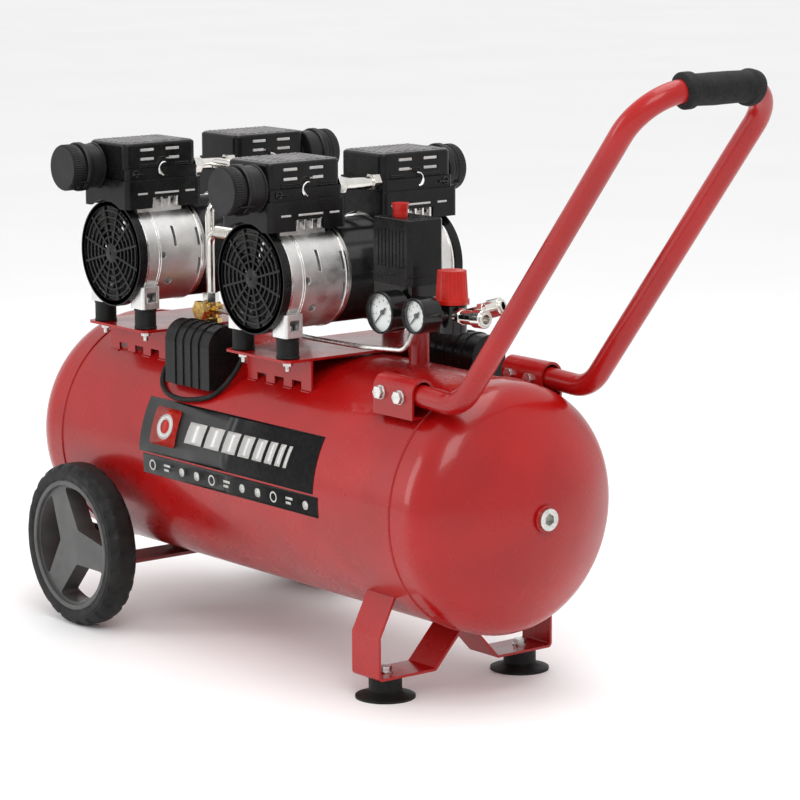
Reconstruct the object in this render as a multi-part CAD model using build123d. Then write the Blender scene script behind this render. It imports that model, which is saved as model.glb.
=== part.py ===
from build123d import *
import os
from math import atan2, cos, degrees, radians, sin, sqrt, tan

# Twin-motor portable air compressor: two oil-free motor/pump units on a wheeled 50 litre tank.
# Units are millimetres.  X runs along the tank towards the handle, +Y away from the gauge side,
# Z up from the floor.  X = 0 is the middle of the tank while modelling; every part is moved at
# the end so that the origin is at the bottom centre of the whole object's box.

# ---- tank
TANK_R = 143.5
TANK_WALL = 2.5
TANK_BOTTOM_Z = 74.1
TANK_Z = TANK_BOTTOM_Z + TANK_R
TANK_TOP_Z = TANK_Z + TANK_R
SEAM_X = 328.0
END_FLANGE = 24.5
CROWN_SHARE = 1.6     # crown and knuckle radii of the dished ends, as shares of the tank's radius
KNUCKLE_SHARE = 0.308
CROWN_R = CROWN_SHARE * TANK_R
KNUCKLE_R = KNUCKLE_SHARE * TANK_R
END_DEPTH = CROWN_R - sqrt((CROWN_R - KNUCKLE_R) ** 2 - (TANK_R - KNUCKLE_R) ** 2)
PORT_BOSS_R = 16.0
PORT_R = 10.5
PORT_FACE_X = SEAM_X + END_FLANGE + END_DEPTH + 3.0
PLUG_COLLAR_R = 12.5
PLUG_COLLAR_T = 3.5
PLUG_SOCKET_FLATS = 12.0
PLUG_SOCKET_DEPTH = 6.0
PLUG_LENGTH = 14.0
TOP_PORT_R = 7.5
DRAIN_BOSS_R = 14.0
DRAIN_R = 6.6
DRAIN_BOSS_DROP = 5.0
DRAIN_Y = 40.0
DRAIN_HEAD_T = 5.5
DRAIN_FLATS = 17.0
DRAIN_HOLE_R = 2.0
DRAIN_THREAD = 10.0

# ---- front feet
FOOT_X = SEAM_X - 62.5
FOOT_Y = 99.4
STRIP_WIDTH = 49.0
FOOT_STRIP = 3.0
FOOT_PLATE_TOP = 28.7
FOOT_LEG_Y = 126.2
FOOT_KNEE_Z = 76.0
FOOT_TOP = (98.0, 132.0)
FOOT_TOE_Y = 46.0
FOOT_CROWN_Y = 4.0
FOOT_BEND = 4.0
FOOT_DISC_R = 34.3
FOOT_DISC_H = 2.5
FOOT_NECK_R = 19.0
FOOT_FLARE_H = 9.0
FOOT_CUP_R = 16.0
FOOT_CUP_H = 3.0
FOOT_STUD_R = 4.0
FOOT_STUD_LOW_Z = 12.0
WASHER_R = 8.5
WASHER_T = 1.6
NUT_FLATS = 13.0
NUT_T = 5.4

# ---- wheels and axle bracket
AXLE_X = 86.0 - SEAM_X
AXLE_Z = 100.0
WHEEL_R = 100.0
RIM_R = 80.5
RIM_BARREL_IN_R = 74.0
TYRE_WIDTH = 38.0
TYRE_SHOULDER_R = 9.0
WHEEL_Y = TANK_R + 30.5
RIM_INSET = 2.0
AXLE_R = 6.0
HUB_R = AXLE_R + 11.0
HUB_IN_Y = WHEEL_Y - 19.0
HUB_OUT_Y = WHEEL_Y + 2.0
WEB_OUT_Y = WHEEL_Y + 14.0
WEB_T = 24.0
WINDOW_IN_R = 25.0
WINDOW_OUT_R = 71.0
WINDOW_HALF_ANGLE = 47.0
WINDOW_CORNER_R = 4.0
SPOKE_ANGLE = 114.0
CAP_T = 3.0
AXLE_FLATS = 2 * AXLE_R + 7.0
AXLE_HEAD_T = 6.5
AXLE_NUT_T = 9.0
AXLE_TAIL = 12.0
AXLE_STRIP = 4.0
EAR_Y = WHEEL_Y - 26.0
EAR_TOP_Z = AXLE_Z + 20.0
EAR_BEND = 6.0

# ---- handle
TUBE_R = 12.5
TUBE_WALL = 1.5
HANDLE_Y = 93.2
TUBE_END = (SEAM_X - 66.0, TANK_TOP_Z - 6.9)
LOWER_BEND = (SEAM_X + 63.4, TANK_TOP_Z - 12.7)
TOP_CORNER = (SEAM_X + 353.0, TANK_TOP_Z + 344.9)
LOWER_BEND_R = 50.0
TOP_BEND_R = 57.0
GRIP_R = 17.0
GRIP_END_R = 19.5
GRIP_WRAPS = (9.0, 23.0)   # degrees that the grip follows the near and the far bend
GRIP_END_LENGTH = 13.0
CLAMP_X = (SEAM_X - 70.0, SEAM_X - 1.0)
CLAMP_WALL = 3.0
CLAMP_GAP = 0.2
CLAMP_SINK = 1.0
CLAMP_BOLT_X = (SEAM_X - 56.0, SEAM_X - 22.0)
CLAMP_BOLT_DROP = 3.0
CLAMP_BOLT_R = 4.0
CLAMP_WASHER_R = 8.0
CLAMP_WASHER_T = 1.5
CLAMP_HEAD_T = 5.0
CLAMP_NUT_T = 4.0

# ---- motor/pump units
UNIT_X = {"rear": -230.0, "front": 59.0}
PLATE_TOP_Z = TANK_TOP_Z + 5.9
PLATE_T = 3.0
BUFFER_R = 13.0
BUFFER_H = 25.0
CASE_R = 62.0
SHAFT_Z = PLATE_TOP_Z + BUFFER_H + CASE_R + 2.0
CASE_WALL = 4.5
CASE_IN_Y = 36.0
CASE_OUT_Y = 126.0
CASE_END_WALL = 5.0
CASE_SLOTS = ((77.0, 10.0, 34.0), (43.0, 9.0, 30.0), (43.0, -27.0, -6.0))   # Y, and span above the shaft
CASE_HOLES = ((96.0, 1.0), (83.0, -32.0))
CAN_R = CASE_R - 2.0
CAN_WALL = 3.0
STATOR_HALF = 26.0
AIR_GAP = 0.6
ROTOR_R = 24.5
SHAFT_R = 6.0
SHAFT_END_Y = 122.0
PUMP_Y = 82.5
CRANK_THROW = 6.0
ECCENTRIC_R = 11.0
ECCENTRIC_W = 13.0
BIG_END_R = 28.0
BIG_END_W = 11.0
ROD_X = 6.0
ROD_Y = 4.5
BORE_R = 27.0
LINER_R = BORE_R + 3.0
DECK_Z = SHAFT_Z + CASE_R + 1.0
DECK_HALF_X = LINER_R + 5.0
DECK_HALF_Y = LINER_R + 2.0
DECK_DEPTH = 33.0
LINER_BOTTOM_Z = DECK_Z - 11.0
FIN_R = LINER_R + 8.0
FIN_COUNT = 20
FIN_T = 2.0
FIN_BASE_T = 3.0
VALVE_PLATE_T = 3.0
CYLINDER_TOP_Z = DECK_Z + 26.0
PISTON_Z = DECK_Z + 7.0
PISTON_T = 8.0
FAN_R = CASE_R - 11.0
FAN_Y = 112.0
FAN_HUB_R = 14.0
FAN_HALF_W = 8.0
FAN_BLADES = 7
BLADE_T = 2.0
BLADE_TILT = 35.0
GRILLE_R = CASE_R + 2.5
GRILLE_RIM = 7.0
GRILLE_FACE_Y = CASE_OUT_Y + 5.0
GRILLE_COLLAR = 6.0
GRILLE_HUB_R = 12.0
GRILLE_RING_PITCH = 8.0
GRILLE_RINGS = int((GRILLE_R - GRILLE_RIM - GRILLE_HUB_R) / GRILLE_RING_PITCH)
GRILLE_RING_HALF = 1.1
GRILLE_SPOKES = 12
GRILLE_SPOKE_HALF = 1.3
LUG_HALF_X = 14.0
LUG_HALF_Y = 13.0
LUG_H = 27.0
LUG_FILLET = 4.0
LUG_POCKET = (7.0, 7.0, 12.0)
LUG_FLOOR = 8.0

# ---- heads
HEAD_X = 47.0
HEAD_Y = (27.0, 138.0)
HEAD_BOTTOM_Z = DECK_Z - 6.0
HEAD_TOP_Z = CYLINDER_TOP_Z + 2.0
HEAD_WALL = 4.0
STEP_X = 43.0
STEP_Y = (30.0, 134.0)
STEP_TOP_Z = HEAD_TOP_Z + 14.0
HEAD_WINDOW_Y = (60.5, 100.5)
HEAD_WINDOW_TOP_Z = DECK_Z + 7.0
HEAD_SLOTS = ((114.0, 7.5), (79.0, 18.0), (45.0, 7.5))   # middle and half length along Y
HEAD_SLOT_Z = DECK_Z + 12.0
HEAD_SLOT_HALF = 1.5
VENT_X = 39.5
VENT_TOP_Z = STEP_TOP_Z + 30.0
VENT_WALL = 2.5
VENT_SLOT_Y = (65.0, 102.0)
VENT_SLOT_RISE = (11.0, 22.0)
VENT_SLOT_HALF = (11.0, 2.0)
VENT_TOP_SLOTS = 6
VENT_TOP_SLOT_Y = 51.0
VENT_TOP_PITCH = 12.6
VENT_TOP_SLOT_HALF = (25.0, 1.6)
FILTER_R = 27.0
FILTER_Z = STEP_TOP_Z + 1.0
FILTER_DX = 20.0
FILTER_BACK_Y = 139.0
FILTER_FACE_Y = 185.0
FILTER_NECK_R = 12.0
FILTER_WALL = 4.0
FILTER_RING_Y = (158.0, 166.0)
FILTER_RING_LIFT = 1.5
FILTER_GROOVE = (2.5, 2.0)   # width and depth behind the lid's ring

# ---- unit mounting
BUFFER_DX = CASE_R - 18.7
BUFFER_Y = 111.0
PLATE_HALF_X = BUFFER_DX + 18.7
PLATE_HALF_Y = BUFFER_Y + 15.0
PLATE_CORNER_R = 8.0
WEB_IN_Y = 89.0
WEB_NOTCHES = (-34.0, 0.0, 34.0)
WEB_NOTCH_HALF = 9.0
WEB_NOTCH_RISE = 7.8
STUD_R = 3.0
STUD_FLATS = 10.0
STUD_LOW = 15.0
STUD_HIGH = 14.0

# ---- air circuit
PIPE_R = 7.0
PIPE_NUT = (18.0, 10.0)   # flats and length
LINK_DX = 30.0
LINK_Z = STEP_TOP_Z - 2.0
CHECK_X = -150.0
CHECK_Y = -40.0
CHECK_BOSS_R = 13.0
CHECK_BOSS_TOP_Z = TANK_TOP_Z + 10.9
CHECK_TOP_Z = CHECK_BOSS_TOP_Z + 25.0
CHECK_PORT_Z = CHECK_BOSS_TOP_Z + 16.0
DELIVERY_R = 5.5
DELIVERY_Z = SHAFT_Z + 28.0
UNLOADER_R = 2.8
UNLOADER_LIFT = 13.0
POST_X = 204.0
POST_R = 12.0
MANIFOLD_R = 14.0
MANIFOLD_Z = TANK_TOP_Z + 64.9
MANIFOLD_X = (180.0, 242.0)
MANIFOLD_NECK_R = 10.0
MANIFOLD_STUB_FLATS = 22.0
MANIFOLD_BORE_R = 6.0
SWITCH_X = 183.5
SWITCH_COVER = (71.0, 51.0, 75.0)
SWITCH_COVER_Z = MANIFOLD_Z + 28.0
SWITCH_BASE_T = 14.0
SWITCH_BASE_INSET = 1.2
SWITCH_CORE = (22.0, 15.0, 34.0)
SWITCH_WALL = 2.5
BUTTON_X = SWITCH_X - 8.0
BUTTON_Y = -4.0
BUTTON_R = 10.0
BUTTON_SHAFT_R = 8.6
BUTTON_RISE = 15.5
BUTTON_CAP_T = 9.0
BUTTON_DEPTH = 12.0
REGULATOR_X = 263.0
REGULATOR_R = 17.0
REGULATOR_Z = (MANIFOLD_Z - 20.0, MANIFOLD_Z + 11.0)
BONNET_R = 12.0
BONNET_TOP_Z = REGULATOR_Z[1] + 15.0
KNOB_Z = (REGULATOR_Z[1] + 1.5, REGULATOR_Z[1] + 39.0)
KNOB_FLANGE_R = 20.0
KNOB_FLANGE_T = 5.0
KNOB_TOP_R = 16.5
KNOB_RIBS = 24
KNOB_GROOVE_R = 1.3
GAUGES = {   # X, Z and radius of each gauge's face
    "tank": (207.0, MANIFOLD_Z + 1.0, 24.0),
    "outlet": (268.0, MANIFOLD_Z + 4.0, 20.0),
}
GAUGE_FACE_Y = -60.0
GAUGE_BACK_Y = -34.0
GAUGE_WALL = 2.0
GAUGE_DEPTH = 7.0
GAUGE_STEM_R = 5.5
NEEDLE_ANGLE = 225.0
NEEDLE_HUB_R = 2.4
NEEDLE_T = 0.8
COUPLER_LENGTH = 60.0
COUPLERS = {   # root, turn and rise of the axis in degrees, and where the hexagon sits
    "near": {"root": (274.0, -6.0, MANIFOLD_Z), "turn": -3.0, "rise": 3.0, "hex_at": 12.0},
    "far": {"root": (258.0, 12.0, MANIFOLD_Z - 4.0), "turn": 24.0, "rise": 15.0, "hex_at": 30.0},
}
COUPLER_STEM_R = 6.0
COUPLER_BODY_R = 8.0
COUPLER_FLATS = 17.0
COUPLER_HEX_T = 6.0
COUPLER_BORE_R = 5.2
COUPLER_BORE_LENGTH = 18.0
SLEEVE_R = 10.5
SLEEVE_LENGTH = 17.0
SLEEVE_SETBACK = 2.0
SAFETY_Y = (12.0, 24.0, 44.0)   # root, bonnet and tip
SAFETY_R = 7.0
SAFETY_FLATS = 17.0
PULL_ROD_R = 2.0
RING_R = 10.0
RING_WIRE_R = 1.3

# ---- capacitor boxes
BOX_LENGTH = 90.0
BOX_WIDTH = 50.0
BOX_Y = 98.0
BOX_Z = (TANK_TOP_Z - 50.1, TANK_TOP_Z + 24.9)
BOXES = {"near": (-128.0, -1), "far": (121.0, 1)}
BOX_RIBS = 4
BOX_RIB_AT = 18.0
BOX_RIB_PITCH = 16.0
BOX_RIB = (4.0, 1.5)   # width and height
GLAND_R = 6.0
GLAND_LENGTH = 12.0
GLAND_Z = BOX_Z[0] + 24.0
CABLE_R = 3.0
BEND_SHARE = 0.45

RUNNING = 0.05   # radial clearance of a shaft or pin in its bore
SLIDING = 0.07   # radial clearance of a piston in its cylinder
LOOSE = 0.3      # gap between moving faces that don't guide each other

parts = {}


# ---------------------------------------------------------------- helpers
def keep(name, *shapes):
    """Store the solids of one named sub-part."""
    parts[name] = [solid for shape in shapes for solid in shape.solids()]


def at_axis(axis, along, u, v):
    """Place a shape built along Z so that it runs along the axis; u, v are the other coordinates."""
    turns = {"x": Rot(0, 90, 0), "y": Rot(-90, 0, 0), "z": Rot(0, 0, 0)}
    points = {"x": Pos(along, u, v), "y": Pos(u, along, v), "z": Pos(u, v, along)}
    return points[axis] * turns[axis]


def bar(axis, radius, start, end, u=0.0, v=0.0, bore=0.0):
    """Round bar, or tube if bore is given, along an axis from start to end."""
    profile = Circle(radius) - Circle(bore) if bore else Circle(radius)
    low, high = min(start, end), max(start, end)
    return at_axis(axis, low, u, v) * extrude(profile, amount=high - low)


def hexagon(axis, flats, start, end, u=0.0, v=0.0):
    """Hexagonal bar along an axis, flats is the distance across its flats."""
    low, high = min(start, end), max(start, end)
    profile = RegularPolygon(flats / 2, 6, major_radius=False)
    return at_axis(axis, low, u, v) * extrude(profile, amount=high - low)


def block(x, y, z):
    """Box between two coordinates on each axis."""
    size = [max(span) - min(span) for span in (x, y, z)]
    centre = [(span[0] + span[1]) / 2 for span in (x, y, z)]
    return Pos(*centre) * Box(*size)


def bent_strip(points, bend, thickness, x):
    """Strip of sheet bent along a path of (y, z) points and as wide as the span x."""
    path = trace(FilletPolyline(*points, radius=bend), line_width=thickness)
    plane = Plane(origin=(x[0], 0, 0), x_dir=(0, 1, 0), z_dir=(1, 0, 0))
    return plane * extrude(path, amount=x[1] - x[0])


def mirrored(shape):
    """The same shape on the other side of the XZ plane."""
    return mirror(shape, about=Plane.XZ)


def both_sides(shape):
    return [shape, mirrored(shape)]


def tube_along(path, radius, bore=0.0):
    """Round bar or tube that follows a path."""
    profile = Circle(radius) - Circle(bore) if bore else Circle(radius)
    return sweep(Plane(origin=path @ 0, z_dir=path % 0) * profile, path=path)


# ---------------------------------------------------------------- tank
def tank_form(inset, start):
    """Solid of revolution from x = start to the tip of one dished tank end, inset by a wall."""
    corner = SEAM_X + END_FLANGE
    radius, knuckle, crown = TANK_R - inset, KNUCKLE_R - inset, CROWN_R - inset
    knuckle_y = TANK_R - KNUCKLE_R
    crown_x = corner + END_DEPTH - CROWN_R
    split = degrees(atan2(knuckle_y, corner - crown_x))
    outline = [
        Line((start, 0), (start, radius)),
        Line((start, radius), (corner, radius)),
        CenterArc((corner, knuckle_y), knuckle, split, 90 - split),
        CenterArc((crown_x, 0), crown, 0, split),
        Line((crown_x + crown, 0), (start, 0)),
    ]
    return Pos(0, 0, TANK_Z) * revolve(make_face(outline), Axis.X)


def tank_envelope():
    """The whole outside of the tank as a solid, for trimming what is welded to it."""
    half = tank_form(0, 0)
    return half + Rot(0, 0, 180) * half


def tank_wall_at(y):
    """Height of the tank's upper surface at a distance y from the middle plane."""
    return TANK_Z + sqrt(TANK_R**2 - y**2)


def build_tank(envelope):
    drain_z = TANK_Z - sqrt(TANK_R**2 - DRAIN_Y**2) - DRAIN_BOSS_DROP
    ports = {
        "front": bar("x", PORT_R, SEAM_X, PORT_FACE_X + 1, 0, TANK_Z),
        "drain": bar("z", DRAIN_R, drain_z - 1, TANK_Z, 0, DRAIN_Y),
        "post": bar("z", TOP_PORT_R, TANK_Z, MANIFOLD_Z, POST_X, 0),
        "check": bar("z", TOP_PORT_R, TANK_Z, CHECK_BOSS_TOP_Z + 1, CHECK_X, CHECK_Y),
    }
    shell = bar("x", TANK_R, -SEAM_X, SEAM_X, 0, TANK_Z, bore=TANK_R - TANK_WALL)
    for name in ("drain", "post", "check"):
        shell -= ports[name]
    keep("tank_shell", shell)

    end = tank_form(0, SEAM_X) - tank_form(TANK_WALL, SEAM_X - 1)
    keep("tank_end_rear", Rot(0, 0, 180) * end)
    keep("tank_end_front", end - ports["front"])

    front = bar("x", PORT_BOSS_R, SEAM_X + END_FLANGE, PORT_FACE_X, 0, TANK_Z)
    drain = bar("z", DRAIN_BOSS_R, drain_z, TANK_Z, 0, DRAIN_Y)
    post = bar("z", POST_R, TANK_Z, MANIFOLD_Z, POST_X, 0)
    post -= bar("x", MANIFOLD_R, *MANIFOLD_X, 0, MANIFOLD_Z)
    check = bar("z", CHECK_BOSS_R, TANK_Z, CHECK_BOSS_TOP_Z, CHECK_X, CHECK_Y)
    bosses = [front - ports["front"], drain - ports["drain"], post - ports["post"], check - ports["check"]]
    keep("tank_bosses", *[boss - envelope for boss in bosses])

    collar_x = PORT_FACE_X + PLUG_COLLAR_T
    plug = bar("x", PORT_R, PORT_FACE_X - PLUG_LENGTH, PORT_FACE_X, 0, TANK_Z)
    plug += bar("x", PLUG_COLLAR_R, PORT_FACE_X, collar_x, 0, TANK_Z)
    plug -= hexagon("x", PLUG_SOCKET_FLATS, PORT_FACE_X - PLUG_SOCKET_DEPTH, collar_x + 1, 0, TANK_Z)
    keep("port_plug", plug)

    head_z = drain_z - LOOSE
    screw = bar("z", DRAIN_R - RUNNING, head_z, drain_z + DRAIN_THREAD, 0, DRAIN_Y)
    screw += hexagon("z", DRAIN_FLATS, head_z - DRAIN_HEAD_T, head_z, 0, DRAIN_Y)
    hole = bar("z", DRAIN_HOLE_R, head_z - DRAIN_HEAD_T - 1, drain_z + DRAIN_THREAD + 1, 0, DRAIN_Y)
    keep("drain_screw", screw - hole)


# ---------------------------------------------------------------- feet, wheels
def build_feet(envelope):
    mid_z = FOOT_PLATE_TOP - FOOT_STRIP / 2
    crown_z = TANK_Z - TANK_R - FOOT_STRIP / 2
    leg = [(FOOT_LEG_Y, FOOT_KNEE_Z), (FOOT_LEG_Y, mid_z)]
    half = [FOOT_TOP, *leg, (FOOT_TOE_Y, mid_z), (FOOT_CROWN_Y, crown_z)]
    points = [(-y, z) for y, z in half] + half[::-1]
    x = (FOOT_X - STRIP_WIDTH / 2, FOOT_X + STRIP_WIDTH / 2)
    strip = bent_strip(points, FOOT_BEND, FOOT_STRIP, x) - envelope
    hole = bar("z", FOOT_STUD_R, 0, FOOT_PLATE_TOP + 1, FOOT_X, -FOOT_Y)
    for cut in both_sides(hole):
        strip -= cut
    keep("foot_bracket", strip)

    plate_bottom = FOOT_PLATE_TOP - FOOT_STRIP
    outline = Polyline(
        (0, FOOT_CUP_H), (FOOT_CUP_R, FOOT_CUP_H), (FOOT_CUP_R, 0), (FOOT_DISC_R, 0),
        (FOOT_DISC_R, FOOT_DISC_H), (FOOT_NECK_R + 3, FOOT_FLARE_H - 2), (FOOT_NECK_R, FOOT_FLARE_H),
        (FOOT_NECK_R, plate_bottom), (0, plate_bottom), close=True,
    )
    foot = Rot(90, 0, 0) * revolve(make_face(outline), Axis.Y)
    foot = Pos(FOOT_X, -FOOT_Y, 0) * foot
    foot -= bar("z", FOOT_STUD_R, FOOT_STUD_LOW_Z, plate_bottom + 1, FOOT_X, -FOOT_Y)
    keep("rubber_feet", *both_sides(foot))


def foot_bolts():
    washer_top = FOOT_PLATE_TOP + WASHER_T
    bolt = bar("z", FOOT_STUD_R, FOOT_STUD_LOW_Z, FOOT_PLATE_TOP, FOOT_X, -FOOT_Y)
    bolt += bar("z", WASHER_R, FOOT_PLATE_TOP, washer_top, FOOT_X, -FOOT_Y)
    bolt += hexagon("z", NUT_FLATS, washer_top, washer_top + NUT_T, FOOT_X, -FOOT_Y)
    return both_sides(bolt)


def rim_solids():
    """Wheel rim on the near side, with three wide spokes, and the cap that hides its axle bolt."""
    angle = radians(WINDOW_HALF_ANGLE)
    tip = (WINDOW_OUT_R * cos(angle), WINDOW_OUT_R * sin(angle))
    sides = Polyline((tip[0], -tip[1]), (WINDOW_IN_R, 0), tip)
    outline = sides + CenterArc((0, 0), WINDOW_OUT_R, -WINDOW_HALF_ANGLE, 2 * WINDOW_HALF_ANGLE)
    window = make_face(outline)
    window = fillet(window.vertices(), WINDOW_CORNER_R)
    web = Circle(RIM_BARREL_IN_R)
    for spoke in range(3):
        web -= Rot(0, 0, SPOKE_ANGLE + 60 + 120 * spoke) * window
    web = Rot(90, 0, 0) * Pos(0, 0, WEB_OUT_Y - WEB_T) * extrude(web, amount=WEB_T)
    half = TYRE_WIDTH / 2 - RIM_INSET
    barrel = bar("y", RIM_R, -WHEEL_Y - half, -WHEEL_Y + half, 0, 0, bore=RIM_BARREL_IN_R)
    rim = web + barrel + bar("y", HUB_R, -HUB_OUT_Y, -HUB_IN_Y, 0, 0)
    rim -= bar("y", AXLE_R + RUNNING, -HUB_OUT_Y - 1, -HUB_IN_Y + 1, 0, 0)
    rim -= bar("y", HUB_R - 2, -WEB_OUT_Y - 1, -HUB_OUT_Y, 0, 0)
    cap = bar("y", HUB_R - 2, -WEB_OUT_Y, -WEB_OUT_Y + CAP_T, 0, 0)
    return [Pos(AXLE_X, 0, AXLE_Z) * shape for shape in (rim, cap)]


def tyre_solid():
    """Solid rubber tyre with rounded shoulders and a raised sidewall band."""
    section = Pos(0, (WHEEL_R + RIM_R) / 2) * Rectangle(TYRE_WIDTH, WHEEL_R - RIM_R)
    section = fillet(section.vertices().sort_by(Axis.Y)[2:], TYRE_SHOULDER_R)
    ring = revolve(section, Axis.X)
    return Pos(AXLE_X, -WHEEL_Y, AXLE_Z) * Rot(0, 0, 90) * ring


def build_wheels(envelope):
    floor_z = TANK_Z - TANK_R - AXLE_STRIP / 2
    points = [(-EAR_Y, EAR_TOP_Z), (-EAR_Y, floor_z), (EAR_Y, floor_z), (EAR_Y, EAR_TOP_Z)]
    x = (AXLE_X - STRIP_WIDTH / 2, AXLE_X + STRIP_WIDTH / 2)
    strip = bent_strip(points, EAR_BEND, AXLE_STRIP, x) - envelope
    keep("axle_bracket", strip - bar("y", AXLE_R, -EAR_Y - AXLE_STRIP, EAR_Y + AXLE_STRIP, AXLE_X, AXLE_Z))

    ear_in, ear_out = EAR_Y - AXLE_STRIP / 2, EAR_Y + AXLE_STRIP / 2
    head_y = -HUB_OUT_Y - LOOSE
    bolt = bar("y", AXLE_R, head_y, -ear_in + AXLE_TAIL, AXLE_X, AXLE_Z)
    bolt += hexagon("y", AXLE_FLATS, head_y - AXLE_HEAD_T, head_y, AXLE_X, AXLE_Z)
    nut = hexagon("y", AXLE_FLATS, -ear_in, -ear_in + AXLE_NUT_T, AXLE_X, AXLE_Z)
    nut -= bar("y", AXLE_R, -ear_in - 1, -ear_in + AXLE_TAIL + 1, AXLE_X, AXLE_Z)
    spacer = bar("y", AXLE_R + 5, -HUB_IN_Y + LOOSE, -ear_out, AXLE_X, AXLE_Z, bore=AXLE_R)
    keep("axle_bolts", *both_sides(bolt), *both_sides(nut), *both_sides(spacer))

    near = {"rim_near": rim_solids(), "tyre_near": [tyre_solid()]}
    for name, shapes in near.items():
        keep(name, *shapes)
        keep(name.replace("near", "far"), *[mirrored(shape) for shape in shapes])


# ---------------------------------------------------------------- handle
def clamp_bolt_line(x):
    """Height of a clamp bolt at x: a little under the axis of the handle tube's lower run."""
    share = (x - TUBE_END[0]) / (LOWER_BEND[0] - TUBE_END[0])
    return TUBE_END[1] + share * (LOWER_BEND[1] - TUBE_END[1]) - CLAMP_BOLT_DROP


def clamp_channel(radius, floor):
    """Solid round-topped channel over the near tube, from a little under the tank's skin plus a floor."""
    low = tank_wall_at(HANDLE_Y) - CLAMP_SINK + floor
    axis_z = TUBE_END[1]
    section = Pos(-HANDLE_Y, (low + axis_z) / 2) * Rectangle(2 * radius, axis_z - low)
    section += Pos(-HANDLE_Y, axis_z) * Circle(radius)
    start = CLAMP_X[0] - floor
    plane = Plane(origin=(start, 0, 0), x_dir=(0, 1, 0), z_dir=(1, 0, 0))
    return plane * extrude(section, amount=CLAMP_X[1] + floor - start)


def build_handle(envelope):
    side = [TUBE_END, LOWER_BEND, TOP_CORNER]
    points = [(x, -HANDLE_Y, z) for x, z in side] + [(x, HANDLE_Y, z) for x, z in reversed(side)]
    radii = [LOWER_BEND_R, TOP_BEND_R, TOP_BEND_R, LOWER_BEND_R]
    path = FilletPolyline(*points, radius=radii)
    tube = tube_along(path, TUBE_R, bore=TUBE_R - TUBE_WALL)
    for x in CLAMP_BOLT_X:
        tube -= bar("y", CLAMP_BOLT_R, -HANDLE_Y - TUBE_R, HANDLE_Y + TUBE_R, x, clamp_bolt_line(x))
    keep("handle_tube", tube)

    rise = (TOP_CORNER[0] - LOWER_BEND[0], TOP_CORNER[1] - LOWER_BEND[1])
    slope = Vector(rise[0], 0, rise[1]).normalized()
    across = Vector(0, 1, 0)
    plane = Plane(origin=(TOP_CORNER[0], 0, TOP_CORNER[1]), x_dir=across, z_dir=across.cross(slope))
    straight = HANDLE_Y - TOP_BEND_R

    near_wrap, far_wrap = GRIP_WRAPS
    collar_angle = degrees(GRIP_END_LENGTH / TOP_BEND_R)

    def near_bend(low, high):
        """Stretch of the tube's centre line round the near bend, by degrees past the cross-bar."""
        return CenterArc((-straight, -TOP_BEND_R), TOP_BEND_R, 90 + low, high - low)

    def far_bend(low, high):
        return CenterArc((straight, -TOP_BEND_R), TOP_BEND_R, 90 - high, high - low)

    def sleeve(path, radius):
        return plane * tube_along(path, radius, bore=TUBE_R)

    run = [near_bend(0, near_wrap), Line((-straight, 0), (straight, 0)), far_bend(0, far_wrap)]
    grip = sleeve(Wire(run), GRIP_R)
    collar_run = GRIP_END_LENGTH - radians(near_wrap) * TOP_BEND_R
    near_end = [near_bend(0, near_wrap), Line((-straight, 0), (-straight + collar_run, 0))]
    grip += sleeve(Wire(near_end), GRIP_END_R)
    grip += sleeve(Wire([far_bend(far_wrap - collar_angle, far_wrap)]), GRIP_END_R)
    keep("handle_grip", grip)

    clamp = clamp_channel(TUBE_R + CLAMP_GAP + CLAMP_WALL, 0) - clamp_channel(TUBE_R + CLAMP_GAP, CLAMP_WALL)
    clamp = clamp - envelope
    half = TUBE_R + CLAMP_GAP + CLAMP_WALL
    y_out, y_in = -HANDLE_Y - half, -HANDLE_Y + half
    for x in CLAMP_BOLT_X:
        clamp -= bar("y", CLAMP_BOLT_R, y_out - 1, y_in + 1, x, clamp_bolt_line(x))
    keep("handle_clamps", *both_sides(clamp))

    bolts = []
    for x in CLAMP_BOLT_X:
        z = clamp_bolt_line(x)
        washer_y = y_out - CLAMP_WASHER_T
        bolt = bar("y", CLAMP_BOLT_R, y_out, y_in + CLAMP_NUT_T, x, z)
        bolt += bar("y", CLAMP_WASHER_R, washer_y, y_out, x, z)
        bolt += hexagon("y", NUT_FLATS, washer_y - CLAMP_HEAD_T, washer_y, x, z)
        bolt += hexagon("y", NUT_FLATS, y_in, y_in + CLAMP_NUT_T, x, z)
        bolts += both_sides(bolt)
    keep("frame_bolts", *foot_bolts(), *bolts)


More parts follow.
